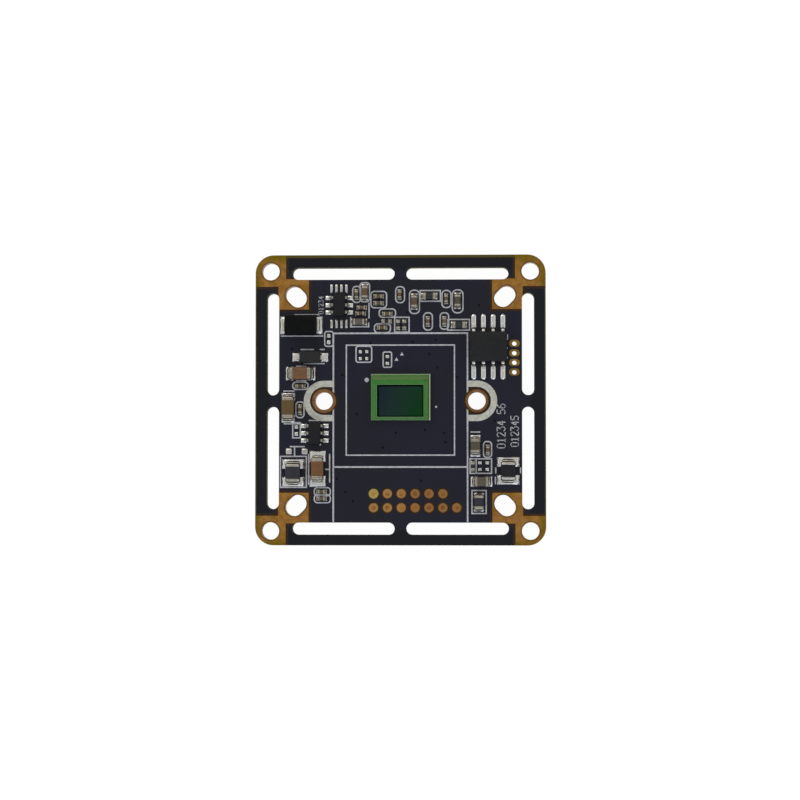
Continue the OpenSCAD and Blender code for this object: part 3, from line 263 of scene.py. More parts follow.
class Finish(NodeTree):
    """A Principled material whose patterns read Object coordinates in millimetres."""

    def __init__(self, name, color=(0.5, 0.5, 0.5), roughness=0.5, metallic=0.0, **more):
        self.material = bpy.data.materials.new(name)
        self.material.use_nodes = True
        super().__init__(self.material.node_tree)
        self.shader = self.tree.nodes["Principled BSDF"]
        self.tone = color
        plain = {"Base Color": color, "Roughness": roughness, "Metallic": metallic, **more}
        for socket, value in plain.items():
            self.set(socket.replace("_", " "), value)
        self.mm = self.stretched(self.add("TexCoord", (), "Object"), (1 / MM,) * 3)
        self.x, self.y, self.z = self.split(self.mm)
        self.upward = self.split(self.add("TexCoord", (), "Normal"))[2]

    def set(self, socket, value):
        """Puts a plain value or a Value into a socket of the shader."""
        self.put(self.shader.inputs[socket], value)
        return self

    def over(self, share, color):
        """Lays a colour over the base colour so far, as thickly as share says."""
        self.tone = self.mix(share, self.tone, color)
        return self.set("Base Color", self.tone)

    def stretched(self, vector, factors):
        return self.add("VectorMath", {0: vector, 1: factors}, operation="MULTIPLY")

    def noise(self, size, detail=2.0, stretch=(1, 1, 1)):
        """Cloudy noise whose blots are about size millimetres across."""
        sockets = {"Scale": 1 / size, "Detail": detail, "Vector": self.stretched(self.mm, stretch)}
        return self.add("TexNoise", sockets, "Fac")

    def clouds(self, color, size, detail, start, end, share=1.0):
        """Lays a colour over in blots of noise, from where it passes start to where it passes end."""
        return self.over(self.step(self.noise(size, detail), start, end, 0.0, share), color)

    def worn(self, size, detail, start, end, low, high):
        """Roughness from low to high in blots of noise."""
        return self.set("Roughness", self.step(self.noise(size, detail), start, end, low, high))

    def cells(self, size):
        """A random number for each small cell about size millimetres across."""
        colors = self.add("TexVoronoi", {"Scale": 1 / size, "Vector": self.mm}, "Color")
        return self.add("SeparateColor", {0: colors})

    def tracks(self, pitch, stretch):
        """Faint straight steps, like tracks under lacquer: long stripes whose ends come from cells."""
        sockets = {"Scale": 1 / pitch, "Randomness": 0.85, "Vector": self.stretched(self.mm, stretch)}
        return self.step(self.add("TexVoronoi", sockets, "Distance", distance="CHEBYCHEV"), 0.25, 0.32)

    def attribute(self, name):
        return self.add("Attribute", (), "Fac", attribute_name=name)

    def bump(self, height, depth_um, strength=1.0):
        """Raises the surface by up to depth_um thousandths of a millimetre where height is one."""
        sockets = {"Strength": strength, "Distance": depth_um * 1e-6, "Height": height}
        return self.set("Normal", self.add("Bump", sockets, "Normal"))

    def grain(self, size, detail, depth_um, strength):
        """Raises the surface in blots of noise."""
        return self.bump(self.noise(size, detail), depth_um, strength)


print("verbs:", [verb for verb in dir(Finish) if not verb.startswith("_")])

# %% [markdown]
# ## Light, floor and camera
# The board lies face up on a white table in soft light, and the camera looks almost straight down
# from a little in front and to the right. A strong lamp would fill the black board with glare, so
# most of the light comes from a pale sky that is dimmer overhead: flat black faces stay black,
# while anything that slopes, such as solder, catches the bright sides. The table shows as white to
# the camera and to reflections, and keeps a faint shadow.

# %% World, lamps and floor
scene = bpy.context.scene
scene.view_settings.view_transform = "Standard"
WARM_SKY, COOL_SKY = (0.96, 0.925, 0.85), (0.96, 1.0, 1.06)
SKY_SIDES, SKY_OVERHEAD, HIGH_SIDES, NEAR_TOP, WARMTH_SPREAD = 0.92, 0.46, 0.5, 0.97, 0.8
PAPER, PAPER_GLOW, GLOW_SHARE = (0.86, 0.86, 0.86), 1.06, 0.9
TABLE_HALF = 3000

world = bpy.data.worlds.new("soft sky")
world.use_nodes = True
world.node_tree.nodes.clear()
scene.world = world
sky = NodeTree(world.node_tree)
_, towards_north, towards_top = sky.split(sky.add("TexCoord", (), "Generated"))
strength = sky.step(towards_top, HIGH_SIDES, NEAR_TOP, SKY_SIDES, SKY_OVERHEAD)
warmth = {"Value": towards_north, "From Min": -WARMTH_SPREAD, "From Max": WARMTH_SPREAD}
warmth = sky.add("MapRange", warmth, "Result")
glow = sky.add("Background", {"Color": sky.mix(warmth, COOL_SKY, WARM_SKY), "Strength": strength})
backdrop = sky.add("Background", {"Color": (1, 1, 1)})
sky.put(sky.tree.nodes.new("ShaderNodeOutputWorld").inputs[0], sky.blend(sky.seen(), glow, backdrop))


def lamp(name, place, size, power, color):
    """A square soft lamp aimed at the middle of the board."""
    light = bpy.data.lights.new(name, "AREA")
    light.shape, light.size, light.energy, light.color = "SQUARE", size, power, color
    thing = bpy.data.objects.new(name, light)
    thing.location = place
    thing.rotation_mode = "QUATERNION"
    thing.rotation_quaternion = (-Vector(place)).to_track_quat("-Z", "Y")
    scene.collection.objects.link(thing)


lamp("warm_window", (-0.16, 0.34, 0.30), 0.22, 0.42, (1.0, 0.94, 0.84))
lamp("cool_card", (0.12, -0.36, 0.24), 0.20, 0.30, (0.86, 0.93, 1.0))

FLOOR_Z = cad_box[0][2] - 0.00002
corner_signs = ((-1, -1), (1, -1), (1, 1), (-1, 1))
table_corners = [(x * TABLE_HALF, y * TABLE_HALF, FLOOR_Z / MM) for x, y in corner_signs]
floor = new_mesh("table", table_corners, [(0, 1, 2, 3)])
paper = bpy.data.materials.new("white table")
paper.use_nodes = True
paper.node_tree.nodes.clear()
table = NodeTree(paper.node_tree)
matt, white = table.add("BsdfDiffuse", {"Color": PAPER}), table.add("Emission", {"Strength": PAPER_GLOW})
glossy_too = table.larger(table.seen(), table.add("LightPath", (), "Is Glossy Ray"))
paper_look = table.blend(glossy_too * GLOW_SHARE, matt, white)
table.put(table.tree.nodes.new("ShaderNodeOutputMaterial").inputs[0], paper_look)
floor.data.materials.append(paper)

# %% Camera
VIEW_WIDTH, LENS, SENSOR, AIM, ASIDE = 104.45, 100.0, 36.0, (-0.045, 0.118), (10.5, -10.5)
stand_off = VIEW_WIDTH * LENS / SENSOR
camera = bpy.data.objects.new("camera", bpy.data.cameras.new("camera"))
camera.data.lens, camera.data.sensor_width = LENS, SENSOR
camera.data.clip_start, camera.data.clip_end = 0.01, 20
target = Vector((*AIM, float(board_high[2]))) * MM
camera.location = target + Vector([part * MM for part in (*ASIDE, stand_off)])
camera.rotation_mode = "QUATERNION"
away = (camera.location - target).normalized()
right = Vector((0, 1, 0)).cross(away).normalized()
camera.rotation_quaternion = Matrix((right, away.cross(right), away)).transposed().to_quaternion()
scene.collection.objects.link(camera)
scene.camera = camera
print("camera stands", round(stand_off), "mm above the board")

# %% [markdown]
# ## The board
# The laminate is glass cloth in yellow resin, 1.6 mm thick, covered on both faces by a black
# lacquer that keeps solder off, the solder mask. The lacquer is thin, so the copper tracks below
# it show as faint steps, and it stops short of the cut edges and of the gold corners, where brown
# and olive laminate shows. One material can do all of this if it asks where on the board it is:
# low and high faces get lacquer, the cut walls in between get laminate with its layers.

# %% Board lacquer and laminate
HALF, CORNER_LAND, LAND_STEP = float(board_high[0]), 4.0, 3.0
MASK, MASK_BLUE, MASK_RAIL = (0.0052, 0.0053, 0.0155), (0.0042, 0.0052, 0.0210), (0.0015, 0.0025, 0.0070)
OLIVE, DARK_RESIN = (0.072, 0.054, 0.004), (0.026, 0.011, 0.003)
RAIL, HALO = 2.4, 0.32

board = Finish("board lacquer", MASK, roughness=0.38, Specular_IOR_Level=0.32)
ax, ay = abs(board.x), abs(board.y)
board_mid = float(board_high[1] + board_low[1]) / 2
board.over(board.step(board.noise(7.0, 1.0), 0.42, 0.62), MASK_BLUE)
board.over(board.noise(0.22, 4.0) * 0.35, (0.0085, 0.0085, 0.0110))
tracks = board.larger(board.tracks(1.1, (0.12, 1, 1)) * 0.6, board.tracks(1.7, (1, 0.12, 1)))
board.over(tracks * 0.22, (0.010, 0.012, 0.022))
on_rail = board.larger(ax, abs(board.y - board_mid))
board.over(board.step(on_rail, HALF - RAIL, HALF - RAIL + 0.8), MASK_RAIL)

# dark resin shows in a halo round the gold, which is an outer square and an inner one per corner
outer_halo = board.step(board.math("MINIMUM", ax, ay), HALF - CORNER_LAND - 0.42, HALF - CORNER_LAND - 0.24)
inner_middle = HALF - LAND_STEP - CORNER_LAND / 2
inner_x, inner_y = (board.band(a, inner_middle, CORNER_LAND / 2 + HALO, 0.09) for a in (ax, ay))
board.over(board.larger(outer_halo, inner_x * inner_y), DARK_RESIN)
ragged = (board.noise(0.6, 2.0) - 0.5) * 0.12
top_edge = board.step(board.y + ragged, board_high[1] - 0.42, board_high[1] - 0.30)
side_edge = board.step(ax + ragged, HALF - 0.20, HALF - 0.10)
board.over(board.larger(top_edge, side_edge), OLIVE)
layers = board.noise(0.12, 2.0, stretch=(0.25, 0.25, 1.6))
laminate = board.ramp(
    layers, (0.3, (0.06, 0.045, 0.012)), (0.55, (0.15, 0.125, 0.045)), (0.75, (0.22, 0.19, 0.085)))
wall = board.band(board.z, 0.8, 0.785, 0.008)
board.over(wall, laminate)
board.set("Roughness", board.step(wall, 0, 1, 0.36, 0.78))
board.bump(tracks * 0.8 + board.noise(0.16, 2.0) * 0.25, 9.0, 0.7)
print("board lacquer has", len(board.tree.nodes), "nodes")

# %% [markdown]
# ## Bare metal on the board
# The corners and the lens holder's rings are copper with a breath of gold, worn and a little
# oxidised: brown in one place, reddish in the next, olive towards the rim of the board. The round
# test lands are brighter orange with a paler ring where the lacquer's opening ends. The empty
# lands of parts that were never fitted are tinned and have a slight crown.

# %% Gold, tin and solder
SCREW_AT, LONG_HOLE_AT, LONG_HOLE_STRAIGHT, LENS_HOLE_AT = 17.0, 13.67, 0.35, 10.0


def shaded(color, factor):
    """A colour made darker, or lighter, by a factor."""
    return tuple(c * factor for c in color)


def worn_gold(name, light, dark, red, rim_color=None):
    """Gold over copper: clouds of brown, a little red, and fine scratches."""
    gold = Finish(name, light, roughness=0.42, metallic=1.0)
    gold.over(gold.step(gold.noise(0.9, 3.0), 0.35, 0.68), dark)
    gold.over(gold.step(gold.noise(1.6, 2.0), 0.52, 0.80), red)
    if rim_color:
        far = gold.larger(abs(gold.x), abs(gold.y)) + gold.noise(0.8, 2.0) * 0.9
        gold.over(gold.step(far, HALF - 0.9, HALF + 0.35), rim_color)
    gold.worn(0.35, 3.0, 0.3, 0.7, 0.36, 0.52)
    return gold.grain(0.09, 3.0, 4.0, 0.6)


def near_hole(finish):
    """How far a place lies from the middle of the nearest corner hole, round or long.

    The middle of a long hole is a short straight along the board's diagonal.
    """
    ax, ay = abs(finish.x), abs(finish.y)
    from_round = finish.length(ax - SCREW_AT, ay - SCREW_AT)
    along = (ax + ay) * math.sqrt(0.5) - LONG_HOLE_AT * math.sqrt(2)
    past_straight = finish.larger(abs(along) - LONG_HOLE_STRAIGHT, 0.0)
    from_long = finish.length(past_straight, (ax - ay) * math.sqrt(0.5))
    return finish.math("MINIMUM", from_round, from_long)


def lens_hole_distance(finish):
    """How far a place lies from the middle of the nearer lens holder hole."""
    return finish.length(abs(finish.x) - LENS_HOLE_AT, finish.y)


corner_gold = worn_gold("corner gold", (0.50, 0.255, 0.060), (0.36, 0.18, 0.032), (0.45, 0.20, 0.075),
                        rim_color=(0.24, 0.16, 0.010))
corner_gold.clouds((0.40, 0.17, 0.065), 0.26, 3.0, 0.52, 0.64, 0.5)
corner_gold.over(corner_gold.step(near_hole(corner_gold), 1.42, 1.22) * 0.85, (0.17, 0.085, 0.022))
ring_gold = worn_gold("ring copper", (0.34, 0.18, 0.085), (0.25, 0.13, 0.055), (0.33, 0.15, 0.07))
ring_r = lens_hole_distance(ring_gold) + ring_gold.step(ring_gold.x, 0.0, 1.0, 0.0, 0.10)
ring_gold.over(ring_gold.step(ring_r, 1.44, 1.68), (0.095, 0.050, 0.018))
header_gold = worn_gold("header gold", (0.38, 0.25, 0.065), (0.25, 0.15, 0.035), (0.30, 0.17, 0.05))


def metal(name, color, roughness, blot, depth_um=3.0, dark=0.55, steep=None, dull=None):
    """Satin metal with faint clouds and a fine grain.

    Along its rounded edges and slopes it is painted darker, to the colour steep: painted shade for the
    dark surroundings that sloping metal reflects, and where steep is brownish, partly the brown of flux.
    It is tarnished to the colour dull where the mesh's own attribute of that name says so.
    """
    made = Finish(name, color, metallic=1.0)
    made.clouds(shaded(color, dark), blot, 3.0, 0.35, 0.7)
    if dull:
        made.over(made.attribute("dull"), dull)
    if steep:
        # painted shade: slopes take the colour steep, standing for the dark surroundings they reflect
        made.over(made.band(made.upward, 0.5, 0.3, 0.15), steep)
    made.worn(blot * 0.7, 2.0, 0.3, 0.7, roughness * 0.8, roughness * 1.25)
    return made.grain(blot * 0.2, 2.0, depth_um, 0.5)


tin = metal("tinned leads", (0.90, 0.89, 0.86), 0.30, 0.6, dark=0.85)
lead_tin = metal("formed leads", (0.88, 0.87, 0.83), 0.30, 0.6, dark=0.85, steep=(0.10, 0.095, 0.08))
small_lead_tin = metal("small formed leads", (0.46, 0.46, 0.435), 0.32, 0.6, dark=0.85,
                       steep=(0.07, 0.068, 0.06))
strap_tin = metal("folded straps", (0.58, 0.56, 0.49), 0.34, 0.6, dark=0.75)
dull_tin = metal("bare lands", (0.75, 0.74, 0.71), 0.32, 0.5, dark=0.75)
left_tin = metal("left coil ends", (0.43, 0.425, 0.385), 0.36, 0.5, dark=0.85, steep=(0.16, 0.14, 0.085))
right_tin = metal("right coil ends", (0.56, 0.555, 0.53), 0.34, 0.5, dark=0.85, steep=(0.20, 0.165, 0.095))
end_tin = metal("end caps", (0.45, 0.415, 0.345), 0.42, 0.4, dark=0.78, steep=(0.19, 0.165, 0.12))
small_tin = metal("small end caps", (0.50, 0.47, 0.40), 0.46, 0.4, dark=0.78, steep=(0.22, 0.20, 0.16))
SMALL_DULL = (0.36, 0.345, 0.29)
solder = metal("solder", (0.92, 0.91, 0.90), 0.22, 0.5, 1.5, dark=0.88, steep=(0.26, 0.235, 0.18),
               dull=SMALL_DULL)
pool_solder = metal("pooled solder", (0.96, 0.96, 0.95), 0.20, 0.5, 1.5, dark=0.9, dull=SMALL_DULL)
lid = metal("plated lid", (0.62, 0.60, 0.56), 0.28, 0.8, 2.0, dark=0.85)
contact = metal("contact plating", (0.72, 0.56, 0.30), 0.25, 0.5, 2.0, dark=0.8)
print("metals ready")

# %% [markdown]
# ## Ink, plastic, ceramic and silicon
# Printed ink is matt and a little uneven. Moulded packages are black epoxy full of fine glass
# powder, which gives them a dry, very fine grain. Capacitors are fired ceramic, and each batch
# fires to its own brown, so every block carries a number, its tone, that picks its colour.

# %% Ink, mouldings and ceramics
ink = Finish("printed ink", (0.55, 0.55, 0.50), roughness=0.7, Specular_IOR_Level=0.3)
ink_wear = ink.step(ink.noise(0.35, 3.0), 0.3, 0.72)
thin_lines = ink.mix(ink_wear, (0.53, 0.535, 0.575), (0.385, 0.39, 0.42))
ink.over(ink_wear, (0.395, 0.40, 0.36))
ink.over(ink.step(lens_hole_distance(ink), 2.75, 2.95), thin_lines)
ink.clouds((0.05, 0.05, 0.055), 0.7, 3.0, 0.76, 0.82)
ink.grain(0.08, 2.0, 6.0, 0.6)


def moulded(name, color, grain_mm, depth_um, roughness=0.62, fleck=1.35, shine=0.25, sides=0.55):
    """Filled plastic: one colour, a fine grain of its filler, and slightly shiny worn patches.

    The sides are painted darker than the top by the factor sides: painted shade for the less light that
    falls on faces turned away from upright.
    """
    made = Finish(name, color, Specular_IOR_Level=shine)
    made.over(made.step(made.cells(grain_mm), 0.5, 0.95), shaded(color, fleck))
    made.clouds(shaded(color, 0.75), 1.3, 2.0, 0.4, 0.7, 0.5)
    # painted shade: faces that turn away from upright take a darker copy of the colour
    made.over(made.step(made.upward, 0.92, 0.5), shaded(color, sides))
    made.worn(0.9, 2.0, 0.35, 0.7, roughness - 0.1, roughness + 0.1)
    return made.grain(grain_mm * 1.5, 2.0, depth_um, 0.7)


moulding = moulded("black moulding", (0.0095, 0.0100, 0.0115), 0.035, 4.0)
regulator_black = moulded("regulator moulding", (0.0062, 0.0063, 0.0085), 0.035, 4.0)
diode_black = moulded("diode moulding", (0.0020, 0.0022, 0.0028), 0.04, 3.0, roughness=0.45, shine=0.12)
clamp_grey = moulded("small diode moulding", (0.0150, 0.0155, 0.0170), 0.035, 4.0)
ferrite = moulded("ferrite", (0.027, 0.026, 0.035), 0.05, 6.0, roughness=0.5, fleck=1.6)
dark_ferrite = moulded("dark ferrite", (0.0105, 0.0100, 0.0150), 0.05, 6.0, roughness=0.5, fleck=1.6)
nylon = moulded("natural nylon", (0.64, 0.60, 0.49), 0.3, 6.0, roughness=0.48, fleck=1.05, sides=0.92)
base_ceramic = moulded("dark ceramic", (0.055, 0.042, 0.032), 0.06, 6.0, roughness=0.55)

ceramic = Finish("capacitor ceramic", roughness=0.5, Specular_IOR_Level=0.45)
ceramic.tone = ceramic.ramp(
    ceramic.attribute("tone"), (0.0, (0.175, 0.066, 0.014)), (0.12, (0.175, 0.081, 0.031)),
    (0.21, (0.113, 0.068, 0.033)), (0.26, (0.161, 0.087, 0.038)), (0.42, (0.105, 0.064, 0.008)),
    (0.6, (0.125, 0.100, 0.050)), (0.8, (0.066, 0.065, 0.040)), (1.0, (0.110, 0.105, 0.095)))
ceramic.clouds((0.08, 0.05, 0.028), 0.25, 3.0, 0.4, 0.75)
ceramic.grain(0.07, 2.0, 5.0, 0.6)

coat = Finish("resistor coat", (0.012, 0.016, 0.016), roughness=0.3)
coat.clouds((0.022, 0.028, 0.026), 0.4, 2.0, 0.4, 0.7)
coat.grain(0.2, 2.0, 6.0, 0.5)
print("ink, mouldings and ceramics ready")

# %% [markdown]
# ## The image sensor's glass and colours
# The sensor is a slice of silicon under glass. A green epoxy frame holds the glass up all round
# the light cells, with a pale line of ground glass above it. The cells look almost black, but
# their microscopic lenses and colour filters send back a deep blue at one side and a deep green
# at the other. On Object coordinates this is a sweep from left to right, broken by a very fine
# grid, and the frame throws a soft shadow on its rim.

# %% Sensor finishes
array_low, array_high = (np.array(c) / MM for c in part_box("sensor_pixel_array"))
glass_low, glass_high = (np.array(c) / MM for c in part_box("sensor_cover_glass"))
array_mid, array_half = (array_low + array_high) / 2, (array_high - array_low) / 2
glass_mid, glass_half = (glass_low + glass_high) / 2, (glass_high - glass_low) / 2
GRID_PER_MM, SHADOW_SHIFT = 40.0, (0.05, -0.05, 0.0)
FRESNEL_AHEAD, COATING = 0.043, 0.25


def frame_distance(finish, middle, half):
    """How far a place lies outside a rectangle, in millimetres, and less than nought inside it."""
    right = abs(finish.x - middle[0]) - half[0]
    up = abs(finish.y - middle[1]) - half[1]
    return finish.larger(right, up)


filters = Finish("colour filters", roughness=0.4, Specular_IOR_Level=0.0)
sweep = filters.math("DIVIDE", filters.x - array_low[0], array_half[0] * 2)
sweep = sweep - (filters.y - array_mid[1]) * 0.07
filters.tone = filters.ramp(
    sweep, (0.0, (0.0189, 0.0267, 0.0467)), (0.3, (0.0206, 0.0375, 0.0399)), (0.6, (0.0179, 0.0435, 0.0304)),
    (0.85, (0.0112, 0.0477, 0.0218)), (1.0, (0.0080, 0.0557, 0.0135)))
rows, columns = (filters.math("PINGPONG", axis * GRID_PER_MM, 1.0) for axis in (filters.y, filters.x))
grid = rows * columns
filters.over(grid * 0.05, (0.002, 0.004, 0.004))
inside = frame_distance(filters, array_mid + SHADOW_SHIFT, array_half)
filters.over(filters.step(inside, -0.19, -0.09), (0.0004, 0.0005, 0.0008))
filters.bump(grid, 0.3, 0.1)

green = Finish("green frame epoxy", (0.063, 0.215, 0.034), roughness=0.35, Specular_IOR_Level=0.5)
out = frame_distance(green, array_mid, array_half)
top_line = green.band(green.y, array_high[1] + 0.93, 0.05, 0.04) * green.step(out, 0.1, 0.14)
side_line = green.band(out, 0.66, 0.04, 0.04) * green.step(green.x, array_high[0], array_high[0] + 0.1)
low_line = green.step(green.y, array_low[1] - 0.02, array_low[1] - 0.3) * green.noise(0.4, 3.0)
green.clouds((0.048, 0.170, 0.029), 0.5, 3.0, 0.35, 0.7)
green.over(green.band(out, 0.40, 0.12, 0.08), (0.045, 0.222, 0.036))
green.over(green.step(green.x, array_high[0] + 0.2, array_high[0] + 0.4), (0.088, 0.237, 0.040))
green.over(green.step(out, 0.62, 0.80), (0.110, 0.225, 0.049))
green.over(green.band(out, 0.07, 0.035, 0.02), (0.14, 0.28, 0.12))
green.over(green.band(out, 0.0, 0.045, 0.02), (0.001, 0.003, 0.002))
green.over(top_line, (0.17, 0.17, 0.10))
green.over(side_line, (0.045, 0.085, 0.018))
green.over(low_line, (0.10, 0.15, 0.085))
green.grain(0.15, 3.0, 5.0, 0.5)

silicon = Finish("silicon", (0.05, 0.06, 0.055), roughness=0.12, metallic=0.6)
silicon.over(silicon.noise(0.3, 2.0), (0.03, 0.05, 0.035))


def coated_glass():
    """A pane that lets light straight through, mirrors a little of it, and is ground at its edges.

    The mirror's share is Fresnel's share less its value straight ahead, times what the coating
    leaves, so it is nought from straight ahead and grows towards low angles. The bevel round the
    pane is ground and scatters light; its share is made larger at the upper and the right side, a
    painted highlight where the light falls on those edges.
    """
    pane = Finish("sensor glass", (0.95, 0.97, 0.95), roughness=0.02, metallic=1.0)
    clear = pane.add("BsdfTransparent", {"Color": (0.96, 1.0, 0.97)})
    ground = pane.add("BsdfDiffuse", {"Color": (0.41, 0.52, 0.34)})
    mirrored = pane.larger(pane.add("Fresnel", {"IOR": 1.5}) - FRESNEL_AHEAD, 0.0) * COATING
    flat = pane.blend(mirrored, clear, Value(pane, pane.shader.outputs[0]))
    rim = pane.step(frame_distance(pane, glass_mid, glass_half), -0.17, -0.09)
    upper = pane.step(pane.y, glass_high[1] - 0.2, glass_high[1] - 0.1)
    right = pane.step(pane.x, glass_high[0] - 0.2, glass_high[0] - 0.1)
    # painted highlight: the ground rim scatters more at the upper and right edges, where the light falls
    scatter_and_highlight = pane.larger(upper * 0.42, right * 0.85) + 0.10
    pane.put(pane.tree.nodes["Material Output"].inputs["Surface"], pane.blend(rim * scatter_and_highlight, flat, ground))
    return pane


glass = coated_glass()
print("sensor window", np.round(array_half[:2] * 2, 2), "mm in glass", np.round(glass_half[:2] * 2, 2), "mm")

# %% [markdown]
# ## Materials for the CAD pieces that stay
# Flat gold lands, the die and its glass, the print and the board already have their true shape, so
# the CAD solids stay and only their material changes. Small shapes whose edges must catch the
# light are remade further on.

# %% Dress the CAD pieces
test_spots = np.array([sum(box_of(p))[:2] / 2 for p in solids_of("test_lands")])
test_spots = test_spots[np.lexsort((test_spots[:, 0], -test_spots[:, 1]))]
first_x, first_y = test_spots[0]
column_gap, row_gap = float(np.diff(test_spots[:, 0]).max()), float(np.ptp(test_spots[:, 1]))

test_gold = Finish("test land gold", (0.64, 0.28, 0.070), roughness=0.4, metallic=1.0)
cell_x = test_gold.math("WRAP", test_gold.x - first_x, column_gap / 2, -column_gap / 2)
cell_y = test_gold.math("WRAP", test_gold.y - first_y, row_gap / 2, -row_gap / 2)
spot_r = test_gold.length(cell_x, cell_y)
test_gold.clouds((0.40, 0.165, 0.038), 1.1, 2.0, 0.4, 0.65)
test_gold.over(test_gold.band(spot_r, 0.42, 0.10, 0.10), (0.56, 0.34, 0.14))
test_gold.over(test_gold.step(spot_r, 0.52, 0.64), (0.26, 0.14, 0.05))
test_gold.over(test_gold.step(test_gold.x, first_x + 2.6, first_x + 5.4, 0.0, 0.36), (0.22, 0.070, 0.022))
first_land = test_gold.step(test_gold.x, first_x + 0.8, first_x + 0.9, 1.0, 0.0)
first_land = first_land * test_gold.step(test_gold.y, first_y - 0.9, first_y - 0.8)
first_tone = test_gold.mix(test_gold.step(spot_r, 0.16, 0.30), (0.68, 0.37, 0.07), (0.62, 0.50, 0.15))
test_gold.over(first_land * 0.85, first_tone)
test_gold.bump(test_gold.step(spot_r, 0.46, 0.56), 12.0, 0.5)

DRESSED = {
    "board": board, "corner_lands": corner_gold, "lens_hole_lands": ring_gold,
    "header_lands": header_gold, "test_lands": test_gold, "white_print": ink, "part_lands": tin,
    "back_lands": tin, "sensor_die": silicon, "sensor_pixel_array": filters, "sensor_dam": green,
    "sensor_cover_glass": glass, "sensor_solder_balls": solder, "processor_terminals": tin,
}
for node, finish in DRESSED.items():
    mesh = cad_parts[node].data
    mesh.materials.clear()
    mesh.materials.append(finish.material)
print("dressed", len(DRESSED), "CAD nodes; test lands:", len(test_spots), "at pitch", round(column_gap, 3))

# %% [markdown]
# ## Solder that has flowed
# Melted solder climbs the side of a lead and creeps out over its land, so its surface is hollow:
# steep at the metal, flat at the toe. It could be sculpted, but its height is easy to write down.
# The CAD wedges say where each joint is, which way it faces, and how high and wide it may be.


# %% Solder joints
def closed_below(upper, base, wall=False):
    """Closes a grid of points with a flat underside at height base, as points and faces.

    With wall, faces join the first row to the underside as well.
    """
    rows, columns = upper.shape[:2]
    under = upper.copy()
    under[..., 2] = base
    count, c = rows * columns, np.arange(columns - 1)
    faces = [grid_faces(rows, columns), grid_faces(rows, columns, count)[:, ::-1]]
    if wall:
        faces.append(np.stack([c, c + count, c + 1 + count, c + 1], axis=1))
    return np.vstack([upper.reshape(-1, 3), under.reshape(-1, 3)]), np.vstack(faces)


def solder_joint(points, sign, rows=7, columns=9):
    """One joint in the space of a CAD wedge, as points and faces.

    With u from nought at the metal to one at the toe, and v from -1 to 1 across, the height is
    climb * (1 - u)^2 * (1 - |v|^3.5), and the toe curves in towards its corners.
    """
    low, high = box_of(points)
    tip = points[points[:, 2] * sign > (high[2] if sign > 0 else -low[2]) - 1e-3].mean(axis=0)
    middle = (low + high) / 2
    along = 0 if abs(tip[0] - middle[0]) > abs(tip[1] - middle[1]) else 1
    away = -np.sign(tip[along] - middle[along])
    run, climb = high[along] - low[along], high[2] - low[2]
    half = (high[1 - along] - low[1 - along]) / 2
    base = low[2] if sign > 0 else high[2]
    u = np.linspace(0, 1, rows)[:, None] ** 0.9
    v = np.sin(np.linspace(-1, 1, columns) * math.pi / 2)[None, :]
    upper = np.zeros((rows, columns, 3))
    upper[..., along] = tip[along] + away * u * run * (1 - 0.16 * np.abs(v) ** 4)
    upper[..., 1 - along] = middle[1 - along] + v * half * (1 + 0.10 * np.sin(u * math.pi))
    upper[..., 2] = base + sign * climb * (1 - u) ** 2 * (1 - np.abs(v) ** 3.5)
    return closed_below(upper, base, wall=True)


def gathered(parts):
    """Joins many (points, faces) pairs into one, counting the face numbers on."""
    starts = np.cumsum([0] + [len(points) for points, _ in parts[:-1]])
    shifted = [faces + start for (_, faces), start in zip(parts, starts)]
    return np.vstack([points for points, _ in parts]), np.vstack(shifted)


def made_of(name, parts, finish, slot, *replaced):
    """One smooth piece of many (points, faces) parts, with its material, that hides the CAD nodes it
    replaces.
    """
    return finished(new_mesh(name, *gathered(parts)), finish, slot, *replaced)


def marked(piece, name, values):
    """Gives each point of a piece its value of a named attribute, for the material to read."""
    piece.data.attributes.new(name, "FLOAT", "POINT").data.foreach_set("value", values.astype(np.float32))


def dulled(piece, reach=0.55):
    """Marks the points of a piece that lie within reach of a small chip's end as dull."""
    ends = np.vstack([[sum(box_of(p))[:2] / 2 for p in solids_of(node)] for node in SMALL_ENDS])
    away = np.sqrt(((points_of(piece.data)[:, None, :2] - ends[None]) ** 2).sum(axis=2)).min(axis=1)
    marked(piece, "dull", np.where(away < reach, 1.0, 0.0))


SMALL_ENDS = ("small_capacitor_ends", "chip_capacitor_ends", "chip_resistor_ends", "sense_resistor_ends",
              "ferrite_bead_ends")
joints = [solder_joint(w, 1) for w in wedges]
dulled(made_of("flowed_solder_front", joints, solder, "solder", "solder_fillets"))
back_wedges = solids_of("back_solder")
made_of("flowed_solder_back", [solder_joint(w, -1) for w in back_wedges], solder, "solder", "back_solder")
print("joints:", len(wedges), "front,", len(back_wedges), "back")

# %% [markdown]
# ## Crowned lands
# A tinned land is never flat: the tin was once molten and drew itself into a low cushion. The
# cushion is a surface over the land's own rectangle, high in the middle and falling ever faster
# towards the edges. Lands under fitted parts get a little pool, which shows round the metal.


# %% Cushions of tin and pools of solder
BOARD_TOP, LAND_TOP = float(board_high[2]), float(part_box("part_lands")[1][2]) / MM
LAND_CROWN, POOL_CROWN, DOME_CROWN, SMALLEST_POOLED = 0.085, 0.07, 0.12, 0.4


def cushion(low, high, crown, base, rows=7):
    """A low cushion on a rectangle, as points and faces.

    Its height above base is crown * ((1 - u^4) * (1 - v^4))^0.5, with u and v from -1 to 1, and a
    flat underside closes it.
    """
    t = np.sin(np.linspace(-1, 1, rows) * math.pi / 2)
    u, v = np.meshgrid(t, t, indexing="ij")
    rise = crown * np.sqrt(np.clip((1 - u**4) * (1 - v**4), 0, 1))
    middle, half = (low + high) / 2, (high - low) / 2
    round_off = 1 - 0.06 * (u * v) ** 4
    x, y = (middle[k] + w * half[k] * round_off for k, w in enumerate((u, v)))
    return closed_below(np.stack([x, y, base + rise], axis=-1), base)


